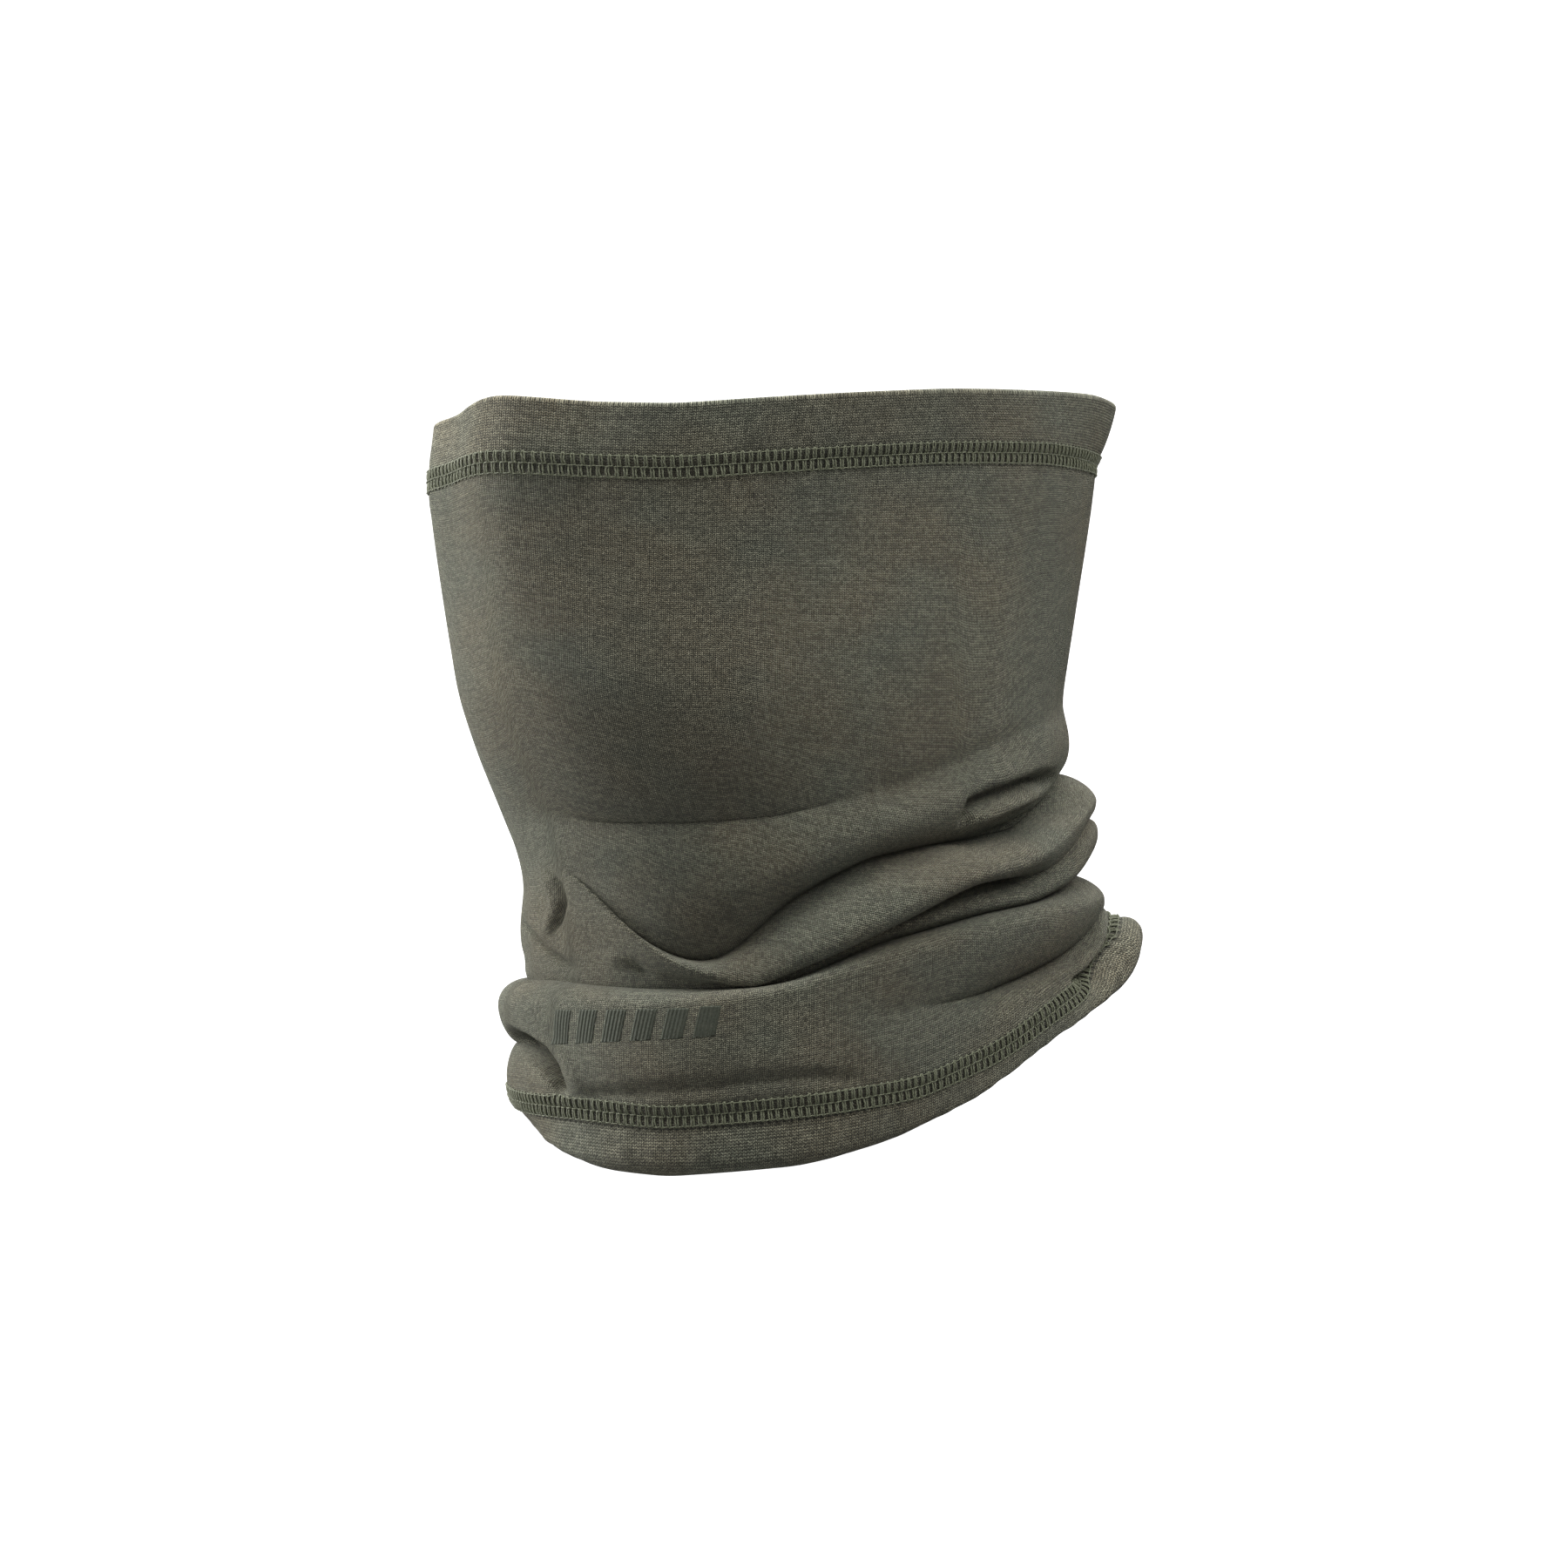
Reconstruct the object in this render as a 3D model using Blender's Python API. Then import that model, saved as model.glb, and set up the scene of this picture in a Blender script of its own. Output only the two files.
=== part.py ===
"""Neck gaiter of fine merino jersey, shown as it is worn, pulled up over the nose.

The gaiter is one panel of knit, closed into a tube by a flat seam down the centre back.
Both ends are turned in and held by a three-needle cover seam.  The upper half lies taut
over the face and the back of the head; the lower half is pushed down into soft rolls
round the neck.

Frame: +Z up, the wearer's face towards -Y, and the origin on the axis of the tube at
half its height.  Angles go round the tube from the face (0) over +X (90) to the nape (180).
"""
import functools
import math

import bmesh
import bpy
import numpy as np

MM = 0.001

# Cloth and stitches, in millimetres.
CLOTH = 0.9               # thickness of the jersey
GAP = 0.3                 # air between pieces that touch on the real gaiter
HEM_OVERLAP = 5.0         # how far the turned layer runs on past the seam's middle
SEAM_WIDTH = 6.4          # across the three needles of a hem seam
NEEDLE_THREAD = 0.35
COVER_THREAD = 0.4
BACK_SEAM_ANGLE = 180.0
BACK_SEAM_WIDTH = 5.4     # across the four needles of the back seam
LABEL_WIDTH = 30.0
LABEL_LENGTH = 42.0       # folded in half
LABEL_THICKNESS = 0.3
LABEL_CLEARANCE = 4.0     # from the middle of the cloth, past the turned hem
BAR_COUNT = 6
BAR_WIDTH = 6.0
BAR_HEIGHT = 11.0
BAR_START_ANGLE = 13.0
BAR_PITCH_ANGLE = 6.4
BAR_LEAN_ANGLE = 1.6      # the foot of a bar lies this far back from its head
BAR_THICKNESS = 0.15

# Resolution of the coarse solids.
COLUMNS = 42
SEAM_MARGIN = 0.6         # from the back seam to the nearest column
FOLD_LEVELS = 5           # the level below which the panel has two rows for each ring

# How the cloth bends between its rings.
NECK_RADIUS = 80.0        # turns widths along the cloth into angles
SOFTEN = 7.0              # degrees over which a ring's stations are blended
BODY_SOFTEN = 12.0        # height over which the head and neck's sections are blended
CREASE_DEPTH = 5.0        # a ring this much deeper than its neighbours is a full crease
QUARTER_ARC = math.pi / 2.0
BLEND_STEPS = np.linspace(-1.0, 1.0, 9)
BLEND_WEIGHTS = np.cos(BLEND_STEPS * math.pi / 2.0) ** 2 / 4.0

# What the cloth lies on: (height, half depth, half width, centre towards the nape).
HEAD_AND_NECK = (
    (112, 104, 78, -2), (88, 104, 78, -5), (60, 99, 76, -6), (26, 94, 75, -7),
    (8, 91, 74, -4), (-8, 87, 73, -1), (-26, 83, 72, 2), (-50, 82, 72, 4), (-112, 82, 72, 4),
)

# The rings of the cloth from top to bottom, each through a few stations:
# (angle, height, reach beyond the head or neck).
TOP_EDGE = (
    (-13, 104, 1), (0, 105, -2), (14, 109, 5), (30, 106, -1), (45, 105, 0), (72, 108, 0),
    (100, 111, 0), (130, 113, 0), (146, 114, 1), (158, 113, 3), (180, 113, 1), (230, 111, 0),
    (270, 109, 0), (315, 106, 0), (331, 105, -3),
)
TOP_SEAM = (
    (-13, 88, 1), (0, 89, -2), (14, 91, 4), (30, 89, -1), (45, 88, 0), (72, 91, 0),
    (100, 94, 0), (130, 96, 0), (150, 96, -2), (165, 96, -2), (180, 96, -1), (230, 94, 0),
    (270, 92, 0), (315, 89, 0), (331, 88, -2),
)
CHEEK = ((-13, 62, 1), (0, 62, -2), (14, 62, 3), (30, 62, 0), (153, 63, -1), (180, 64, 0),
         (300, 62, 0), (331, 62, -2))
JAW = ((-27, 30, -2), (0, 30, 0), (90, 30, 0), (153, 36, -1), (180, 38, 0), (270, 31, 0))
UNDER_JAW = (
    (-27, -7, -2), (30, -7, -1), (60, -6, -1), (90, -1, -1), (110, 7, -1), (130, 15, -1),
    (153, 23, -1), (180, 24, 0), (215, 16, -1), (250, 4, -1), (290, -6, -1),
)
UPPER_SWELL = (
    (-27, -20, -3), (10, -12, -1), (28, -19, 0), (55, -20, 1), (80, -15, 2), (96, -9, 2), (112, -2, 2),
    (130, 5, 2), (153, 11, 1), (180, 12, 2), (210, 3, 2), (245, -10, 2), (290, -20, 1),
)
CREASE_UNDER_JAW = (
    (-27, -34, -2), (0, -27, -1), (10, -20, 0), (18, -29, -1), (26, -40, -4), (32, -47, -7),
    (39, -51, -9), (45, -50, -11), (52, -43, -13), (61, -34, -14), (72, -27, -14), (84, -21, -13),
    (100, -18, -13), (118, -16, -13), (134, -14, -12), (144, -9, -10), (151, -1, -7), (158, 3, -4),
    (180, 3, -3), (205, -6, -6), (235, -20, -6), (265, -27, -6), (295, -38, -2), (315, -38, 0),
)
UPPER_ROLL = (
    (-27, -47, 1), (0, -38, 0), (8, -29, 0), (15, -29, 1), (20, -33, 1.5), (28, -42, 2.5),
    (35, -49, 3), (42, -53, 3), (50, -55, 1), (55, -55, 0), (60, -51, 2), (70, -45, 5),
    (80, -39, 7), (90, -33, 8), (100, -28, 8), (108, -25, 8), (116, -24, 8), (126, -20, 9),
    (140, -12, 9), (153, -5, 10), (180, -6, 10), (205, -16, 9), (235, -29, 8), (265, -37, 8),
    (290, -46, 7), (315, -52, 6),
)
CREASE_UNDER_ROLL = (
    (-27, -53, 0), (0, -48, 0), (10, -46, 0), (20, -50, -1), (32, -54, -1), (43, -56, -1),
    (54, -56.5, -3), (60, -53, -6), (70, -48.5, -9), (82, -42, -11), (92, -37.5, -12),
    (100, -33, -13), (108, -29.5, -13), (118, -28, -13), (125, -28, -10), (130, -26, 3),
    (140, -20, 6), (153, -10, 8), (180, -12, 7), (205, -22, 4), (235, -36, 0), (265, -45, -2),
    (290, -54, -2), (315, -57, 0),
)
MIDDLE_ROLL = (
    (-27, -56, 0), (20, -54, -1), (43, -57, -2), (60, -54, -4), (70, -49.5, -5), (81, -43.5, -4),
    (90, -40, -1), (96, -38, 1), (109, -34.5, 2), (127, -32, 4), (140, -25, 9), (153, -15, 11),
    (180, -17, 10), (205, -26, 8), (235, -39, 5), (265, -48, 3), (290, -56, 1), (315, -59, 1),
)
CREASE_OVER_COLLAR = (
    (-27, -58, -1), (5, -57, -2), (17, -58, -2), (31, -58.5, -3), (48, -58, -4), (56, -57.5, -5),
    (64, -55, -6), (72, -51, -8), (84, -45.5, -9), (97, -42, -9), (111, -38, -8), (128, -35.5, -6),
    (140, -32, -4), (153, -27, 0), (180, -28, 2), (205, -35, 0), (235, -46, -2), (265, -54, -3),
    (295, -61, -3),
)
COLLAR = (
    (-27, -68, 8), (3, -65, 7), (42, -63, 5), (59, -60, 5), (76, -53, 5), (96, -46, 6),
    (124, -39, 9), (153, -34, 13), (180, -35, 12), (205, -43, 9), (235, -54, 6), (265, -62, 6),
    (295, -69, 7),
)
COLLAR_HOLLOW = (
    (-27, -76, 0), (-12, -76, 2), (3, -76, 5), (20, -74, 6), (40, -72, 6), (59, -70, 4),
    (75, -66, 2), (90, -62, 0), (107, -60, -1), (123, -55, 1), (138, -47, 4), (153, -39, 8),
    (180, -41, 8), (205, -50, 4), (235, -62, 1), (265, -72, 2), (300, -77, 3),
)
BELLY = (
    (-27, -84, 5), (20, -82, 6), (40, -81, 6), (59, -79, 5), (75, -77, 4), (92, -73, 4),
    (107, -68, 5), (123, -59, 8), (138, -50, 16), (153, -44, 23), (180, -45, 18), (205, -56, 8),
    (235, -70, 5), (265, -81, 5),
)
BOTTOM_SEAM = (
    (-27, -89, 5), (15, -92, 4), (36, -94, 4), (53, -92, 3), (69, -90, 3), (90, -86, 4),
    (111, -76, 6), (125, -66, 9), (141, -55, 16), (153, -49, 24), (180, -51, 18), (205, -60, 12),
    (235, -76, 7), (265, -88, 4), (300, -93, 4),
)
HEM_SWELL = (
    (-27, -97, 1), (19, -102, 2), (69, -100, 0), (86, -95, 1), (105, -87, 4), (125, -73, 10),
    (141, -62, 16), (153, -56, 21), (180, -57, 19), (205, -67, 13), (235, -84, 6), (265, -96, 2),
)
BOTTOM_EDGE = (
    (-27, -103, -9), (6, -107, -6), (30, -111, -7), (64, -108, -7), (86, -101, -6),
    (105, -90, -4), (128, -73, 3), (141, -66, 8), (153, -62, 12), (180, -64, 12), (205, -73, 7),
    (235, -90, 0), (265, -103, -4), (300, -107, -4),
)


RINGS = (
    TOP_EDGE, TOP_SEAM, CHEEK, JAW, UNDER_JAW, UPPER_SWELL,
    CREASE_UNDER_JAW, UPPER_ROLL, CREASE_UNDER_ROLL, MIDDLE_ROLL, CREASE_OVER_COLLAR, COLLAR,
    COLLAR_HOLLOW, BELLY, BOTTOM_SEAM, HEM_SWELL, BOTTOM_EDGE,
)
TOP_SEAM_LEVEL = 1
COLLAR_LEVEL = 11
BOTTOM_SEAM_LEVEL = 14
LAST_LEVEL = len(RINGS) - 1

OLIVE = (0.125, 0.122, 0.092)
THREAD_GREEN = (0.120, 0.124, 0.085)
LABEL_GREY = (0.62, 0.62, 0.58)
TRANSFER_GREEN = (0.075, 0.077, 0.060)


def remove_everything():
    for old in list(bpy.data.objects):
        bpy.data.objects.remove(old, do_unlink=True)


@functools.lru_cache(maxsize=None)
def ring_points(angle):
    """The height and reach of every ring at an angle, blended between the stations."""
    angles = angle + SOFTEN * BLEND_STEPS
    points = []
    for ring in RINGS:
        stations = np.array(ring, dtype=float)
        points.append([BLEND_WEIGHTS @ np.interp(angles, stations[:, 0], stations[:, column],
                                                 period=360.0) for column in (1, 2)])
    return np.array(points)


def meridian_slope(points, index, side):
    """The direction in which the cloth leaves (side 1) or reaches (side -1) a ring.

    A ring that stands out between its neighbours is the round crest of a roll, and one that
    lies deep between them is a crease, where the cloth turns back on itself.
    """
    before = points[max(index - 1, 0)]
    here = points[index]
    after = points[min(index + 1, LAST_LEVEL)]
    smooth = 0.5 * (after - before)
    depth = 0.5 * (before[1] + after[1]) - here[1]
    bend = min(abs(depth) / CREASE_DEPTH, 1.0)
    neighbour = after if side > 0 else before
    if depth > 0:
        arc = np.array([0.0, QUARTER_ARC * side * (neighbour[1] - here[1])])
    else:
        arc = np.array([QUARTER_ARC * smooth[0], 0.0])
    return (1.0 - bend) * smooth + bend * arc


def meridian_point(level, angle):
    """Height and reach of the cloth at a level, counted in rings from the top edge."""
    points = ring_points(angle)
    index = min(int(level), LAST_LEVEL - 1)
    t = level - index
    start, end = points[index], points[index + 1]
    leave = meridian_slope(points, index, 1)
    arrive = meridian_slope(points, index + 1, -1)
    return ((2 * t**3 - 3 * t**2 + 1) * start + (t**3 - 2 * t**2 + t) * leave
            + (3 * t**2 - 2 * t**3) * end + (t**3 - t**2) * arrive)


def body_section(height):
    """Half depth, half width and centre of what the cloth lies on, at a height."""
    body = np.array(sorted(HEAD_AND_NECK), dtype=float)
    heights = height + BODY_SOFTEN * BLEND_STEPS
    return [BLEND_WEIGHTS @ np.interp(heights, body[:, 0], body[:, i]) for i in (1, 2, 3)]


@functools.lru_cache(maxsize=None)
def cloth_point(level, angle):
    """A point on the middle of the cloth, in millimetres."""
    height, reach = meridian_point(level, angle)
    half_depth, half_width, centre = body_section(height)
    turn = math.radians(angle)
    radius = 1.0 / math.hypot(math.sin(turn) / half_width, math.cos(turn) / half_depth) + reach
    return np.array([radius * math.sin(turn), centre - radius * math.cos(turn), height])


def unit(vector):
    return vector / np.linalg.norm(vector)


def cloth_frame(level, angle):
    """The point, the way down the cloth and the way out of it, at a level and an angle."""
    step = 0.25
    point = cloth_point(level, angle)
    ways = []
    if level > 0.0:
        ways.append(unit(point - cloth_point(level - step, angle)))
    if level < LAST_LEVEL:
        ways.append(unit(cloth_point(level + step, angle) - point))
    down = unit(sum(ways))
    round_it = cloth_point(level, angle + 1.0) - cloth_point(level, angle - 1.0)
    out = unit(np.cross(down, round_it))
    return point, down, out


def placed(level, angle, along=0.0, off=0.0):
    """A point in metres: along the cloth downwards and off its middle outwards."""
    point, down, out = cloth_frame(level, angle)
    return (point + along * down + off * out) * MM


def make_object(name, vertices, faces, material):
    mesh = bpy.data.meshes.new(name)
    mesh.from_pydata([tuple(v) for v in vertices], [], faces)
    mesh.materials.append(material)
    solid = bmesh.new()
    solid.from_mesh(mesh)
    bmesh.ops.recalc_face_normals(solid, faces=solid.faces)
    solid.to_mesh(mesh)
    solid.free()
    mesh.shade_smooth()
    mesh.set_sharp_from_angle(angle=math.radians(50.0))
    made = bpy.data.objects.new(name, mesh)
    bpy.context.scene.collection.objects.link(made)
    return made


def make_material(name, colour, roughness):
    material = bpy.data.materials.new(name)
    material.use_nodes = True
    shader = material.node_tree.nodes["Principled BSDF"]
    shader.inputs["Base Color"].default_value = (*colour, 1.0)
    shader.inputs["Roughness"].default_value = roughness
    shader.inputs["Metallic"].default_value = 0.0
    return material


def loft(name, sections, material, closed):
    """A solid through equal sections; closed joins the last to the first, else both are capped."""
    size = len(sections[0])
    vertices = [vertex for section in sections for vertex in section]
    faces = []
    joins = len(sections) if closed else len(sections) - 1
    for index in range(joins):
        here = index * size
        there = (index + 1) % len(sections) * size
        for corner in range(size):
            beside = (corner + 1) % size
            faces.append((here + corner, here + beside, there + beside, there + corner))
    if not closed:
        faces += strip_cap(0, size)
        faces += strip_cap((len(sections) - 1) * size, size)
    return make_object(name, vertices, faces, material)


def strip_cap(first, size):
    """Quads across a thin section, whose second half runs back beside its first half."""
    return [(first + i, first + i + 1, first + size - 2 - i, first + size - 1 - i)
            for i in range(size // 2 - 1)]


def panel_levels():
    """The levels of the panel's rows between the two hem seams."""
    below_seam = TOP_SEAM_LEVEL + 0.25
    taut = range(TOP_SEAM_LEVEL + 1, FOLD_LEVELS)
    folds = [half / 2.0 for half in range(2 * FOLD_LEVELS, 2 * BOTTOM_SEAM_LEVEL)]
    return [below_seam, *taut, *folds]


def panel_path():
    """The panel's way from the end of one turned hem, round both edges, to the other's.

    Each step is (level, along, off, facing), where facing turns the cloth's outer side
    from outwards (0) over away from the panel (90) to inwards (180).
    """
    band = SEAM_WIDTH / 2.0
    inner = -(CLOTH + GAP)
    top = TOP_SEAM_LEVEL
    bottom = BOTTOM_SEAM_LEVEL
    path = [(top, HEM_OVERLAP, inner, 180), (top, band, inner, 180), (top, -band, inner, 180)]
    path += [(0.5, 0.0, inner, 180), (0.0, 0.0, inner, 180), (0.0, inner / 2.0, inner / 2.0, 90)]
    path += [(0.0, 0.0, 0.0, 0), (0.5, 0.0, 0.0, 0), (top, -band, 0.0, 0), (top, band, 0.0, 0)]
    path += [(level, 0.0, 0.0, 0) for level in panel_levels()]
    path += [(bottom, -band, 0.0, 0), (bottom, band, 0.0, 0), (bottom + 1, 0.0, 0.0, 0)]
    path += [(LAST_LEVEL, 0.0, 0.0, 0), (LAST_LEVEL, -inner / 2.0, inner / 2.0, -90)]
    path += [(LAST_LEVEL, 0.0, inner, 180), (bottom + 1, 0.0, inner, 180)]
    path += [(bottom, band, inner, 180), (bottom, -band, inner, 180)]
    path += [(bottom, -HEM_OVERLAP, inner, 180)]
    return path


def panel_section(angle):
    """One meridian of the panel: its outer side from end to end, and its inner side back."""
    outer, inner = [], []
    for level, along, off, facing in panel_path():
        turn = math.radians(facing)
        step_along = -math.sin(turn) * CLOTH / 2.0
        step_off = math.cos(turn) * CLOTH / 2.0
        outer.append(placed(level, angle, along + step_along, off + step_off))
        inner.append(placed(level, angle, along - step_along, off - step_off))
    return outer + inner[::-1]


def back_angle(width):
    """The angle that a width along the cloth spans at the back of the head."""
    return math.degrees(width / HEAD_AND_NECK[0][1])


def column_angles():
    """The angles of the tube's columns: even ones, and one close to each side of the back seam."""
    beside_seam = back_angle(BACK_SEAM_WIDTH / 2.0 + SEAM_MARGIN)
    even = [index * 360.0 / COLUMNS for index in range(1, COLUMNS)]
    return [BACK_SEAM_ANGLE + turn for turn in (beside_seam, *even, 360.0 - beside_seam)]


def make_panel(material):
    slit = back_angle(GAP / 2.0)
    angles = [BACK_SEAM_ANGLE + slit, *column_angles(), BACK_SEAM_ANGLE + 360.0 - slit]
    return loft("knit_panel", [panel_section(angle) for angle in angles], material, False)


def ring_band(name, level, material, middle, width, low, high):
    """A closed band round the tube, from low to high off the middle of the cloth."""
    corners = ((middle - width / 2.0, low), (middle + width / 2.0, low),
               (middle + width / 2.0, high), (middle - width / 2.0, high))
    sections = [[placed(level, angle, along, off) for along, off in corners]
                for angle in (BACK_SEAM_ANGLE, *column_angles())]
    return loft(name, sections, material, True)


def make_hem_seam(name, level, material):
    """Three needle threads over a cover thread outside, and a looper thread inside."""
    cover_low = CLOTH / 2.0 + GAP
    needle_low = cover_low + COVER_THREAD + GAP
    inside = -(1.5 * CLOTH + 2.0 * GAP)
    ring_band(f"{name}_cover_thread", level, material, 0.0, SEAM_WIDTH, cover_low,
              cover_low + COVER_THREAD)
    ring_band(f"{name}_looper_thread", level, material, 0.0, SEAM_WIDTH,
              inside - COVER_THREAD, inside)
    for number in range(3):
        middle = (number - 1) * (SEAM_WIDTH - NEEDLE_THREAD) / 2.0
        ring_band(f"{name}_needle_thread_{number + 1}", level, material, middle, NEEDLE_THREAD,
                  needle_low, needle_low + NEEDLE_THREAD)


def back_rows():
    """The levels that the back seam runs over, from one turned hem to the other."""
    return panel_levels()[:-1]


def back_band(name, material, middle, width, low, high):
    """A band down the back seam, from low to high off the middle of the cloth."""
    left = BACK_SEAM_ANGLE + back_angle(middle - width / 2.0)
    right = BACK_SEAM_ANGLE + back_angle(middle + width / 2.0)
    sections = [[placed(level, left, 0.0, low), placed(level, right, 0.0, low),
                 placed(level, right, 0.0, high), placed(level, left, 0.0, high)]
                for level in back_rows()]
    return loft(name, sections, material, False)


def make_back_seam(material):
    """The flat seam that joins the panel's sides edge to edge: four needles, cover and looper."""
    cover_low = CLOTH / 2.0 + GAP
    needle_low = cover_low + COVER_THREAD + GAP
    inside = -cover_low
    back_band("back_seam_cover_thread", material, 0.0, BACK_SEAM_WIDTH, cover_low,
              cover_low + COVER_THREAD)
    back_band("back_seam_looper_thread", material, 0.0, BACK_SEAM_WIDTH,
              inside - COVER_THREAD, inside)
    for number in range(4):
        middle = (number - 1.5) * (BACK_SEAM_WIDTH - NEEDLE_THREAD) / 3.0
        back_band(f"back_seam_needle_thread_{number + 1}", material, middle, NEEDLE_THREAD,
                  needle_low, needle_low + NEEDLE_THREAD)


def make_care_label(material):
    """A blank folded label that hangs inside the back from the turned layer of the top hem."""
    top = cloth_point(TOP_SEAM_LEVEL, BACK_SEAM_ANGLE)
    foot = cloth_point(2.0, BACK_SEAM_ANGLE)
    down = unit(foot - top)
    inward = unit(np.cross([1.0, 0.0, 0.0], down))
    if inward[1] > 0:
        inward = -inward
    fold = LABEL_THICKNESS + GAP
    start = HEM_OVERLAP + 1.0
    path = [(start, 0.0), (start + LABEL_LENGTH / 2.0, 0.0), (start + LABEL_LENGTH, 0.0),
            (start + LABEL_LENGTH, fold), (start + LABEL_LENGTH / 2.0, fold), (start, fold)]
    faces_out = ((0, -1), (0, -1), (1, -1), (1, 1), (0, 1), (0, 1))
    sections = []
    for side in (-0.5, 0.5):
        outer, inner = [], []
        for (along, off), (step_along, step_off) in zip(path, faces_out):
            middle = top + down * along + inward * (LABEL_CLEARANCE + off)
            middle = middle + np.array([side * LABEL_WIDTH, 0.0, 0.0])
            step = (down * step_along + inward * step_off) * LABEL_THICKNESS / 2.0
            outer.append((middle + step) * MM)
            inner.append((middle - step) * MM)
        sections.append(outer + inner[::-1])
    loft("care_label", sections, material, False)


def bar_corner(angle, rise, off):
    """A point of the transfer, by its angle and its height above the collar's crest."""
    span = 0.9
    low = cloth_point(COLLAR_LEVEL + span, angle)[2]
    high = cloth_point(COLLAR_LEVEL, angle)[2]
    level = COLLAR_LEVEL + span * (rise - high) / (low - high)
    return placed(level, angle, 0.0, off)


def make_transfer_bar(number, material):
    """One slanted bar of the plain heat-transfer mark on the collar roll."""
    low_off = CLOTH / 2.0 + 2.0 * GAP
    high_off = low_off + BAR_THICKNESS
    start_angle = BAR_START_ANGLE + number * BAR_PITCH_ANGLE
    half = math.degrees(BAR_WIDTH / 2.0 / NECK_RADIUS)
    sections = []
    for part in (0.0, 0.5, 1.0):
        centre = start_angle - BAR_LEAN_ANGLE * (part - 0.5)
        rise = cloth_point(COLLAR_LEVEL, start_angle)[2] - BAR_HEIGHT * part
        sections.append([bar_corner(centre - half, rise, low_off),
                         bar_corner(centre + half, rise, low_off),
                         bar_corner(centre + half, rise, high_off),
                         bar_corner(centre - half, rise, high_off)])
    loft(f"transfer_bar_{number + 1}", sections, material, False)


def main():
    remove_everything()
    thread = make_material("sewing_thread", THREAD_GREEN, 0.8)
    make_panel(make_material("merino_jersey", OLIVE, 0.95))
    make_hem_seam("top_hem", TOP_SEAM_LEVEL, thread)
    make_hem_seam("bottom_hem", BOTTOM_SEAM_LEVEL, thread)
    make_back_seam(thread)
    make_care_label(make_material("label_ribbon", LABEL_GREY, 0.6))
    transfer = make_material("transfer_film", TRANSFER_GREEN, 0.5)
    for number in range(BAR_COUNT):
        make_transfer_bar(number, transfer)


main()
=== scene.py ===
"""The looks of the neck gaiter: its knitted cloth, its sewn seams, its label and its mark.

The cloth is one fine surface through rings like those of the CAD solid, a few of them a
little deeper, with the smaller folds added on it.  Lengths in the tables are millimetres
unless they say metres; everything built is in metres.
Angles go round the tube from the face (0) over the wearer's left side (90) to the nape (180).
"""
import math

import bpy
import numpy as np
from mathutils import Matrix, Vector


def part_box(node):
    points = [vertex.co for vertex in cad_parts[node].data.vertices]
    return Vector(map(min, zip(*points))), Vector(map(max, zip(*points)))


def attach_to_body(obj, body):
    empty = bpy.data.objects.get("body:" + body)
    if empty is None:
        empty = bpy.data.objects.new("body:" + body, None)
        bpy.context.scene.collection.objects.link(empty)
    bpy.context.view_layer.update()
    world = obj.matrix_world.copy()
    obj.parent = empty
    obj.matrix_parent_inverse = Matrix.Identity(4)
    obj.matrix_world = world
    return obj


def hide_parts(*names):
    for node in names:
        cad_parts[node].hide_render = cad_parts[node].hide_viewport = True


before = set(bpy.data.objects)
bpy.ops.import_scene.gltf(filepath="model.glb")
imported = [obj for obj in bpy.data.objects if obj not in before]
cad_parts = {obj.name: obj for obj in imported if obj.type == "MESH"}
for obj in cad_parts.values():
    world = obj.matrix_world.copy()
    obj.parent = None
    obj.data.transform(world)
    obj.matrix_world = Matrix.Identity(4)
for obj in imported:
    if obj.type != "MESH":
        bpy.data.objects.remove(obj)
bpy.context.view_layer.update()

MM = 0.001

# Cloth, as it was cut and as it is sewn.
FLAT_WIDTH = 520.0        # round the tube
FLAT_LENGTH = 300.0       # from the top fold to the bottom fold
HEM_DEPTH = 17.5          # from a fold to the middle of its seam
HEM_OVERLAP = 5.0         # how far the turned layer runs on past the seam
HEM_LAYERS = 1.0          # between the middles of the two layers of a hem
EDGE_ROUND = 0.75         # how far a fold stands out past the edge ring
CLOTH_THICKNESS = 0.7
CLOTH_COLUMNS = 480
HEM_ROWS = 18
FOLD_TURNS = tuple(math.radians(turn) for turn in (30, 60, 90, 120, 150))
HEM_STRETCH = 1.25        # the most that the bottom hem's knit stretches where it bulges
WALE = 1.10               # from one column of stitches to the next
COURSE = 0.72             # from one row of stitches to the next

# Stitches.
HEM_SEAM_WIDTH = 6.0
HEM_STITCHES = 230
STITCH_PITCH = 2.4
COVER_RADIUS = 0.27
NEEDLE_RADIUS = 0.17
THREAD_SIDES = 7
COVER_JITTER = (0.07, 0.09, 0.03)
NEEDLE_JITTER = (0.05, 0.03, 0.03)
NEEDLE_PULL = 0.16        # how far a needle line pulls the cloth in
PULL_WIDTH = 0.7
HEM_PUFF = 0.12           # how far a hem puffs up beside its seam
PUFF_AT = 8.0             # from the middle of the seam
PUFF_WIDTH = 5.0
HEM_RIPPLE = 0.10
BAND_REACH = 6.0          # how far beside a hem seam its stitches can be placed
BAND_STEP = 0.5
NAPE = 180.0
HEM_SEAM_LINES = (HEM_DEPTH, FLAT_LENGTH - HEM_DEPTH)
BACK_SEAM_WIDTH = 5.4
BACK_PITCH = 2.2

# The label, in metres.
LABEL_CLEARANCE = 0.0022   # from the cloth's middle to the label's
LABEL_GAP = 0.0009         # between its two folded halves
LABEL_THICKNESS = 0.00025
LABEL_SWING = 0.0016       # how far it swings away from a straight line
LABEL_CURL = 0.0007        # how far its middle stands from its sides

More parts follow.
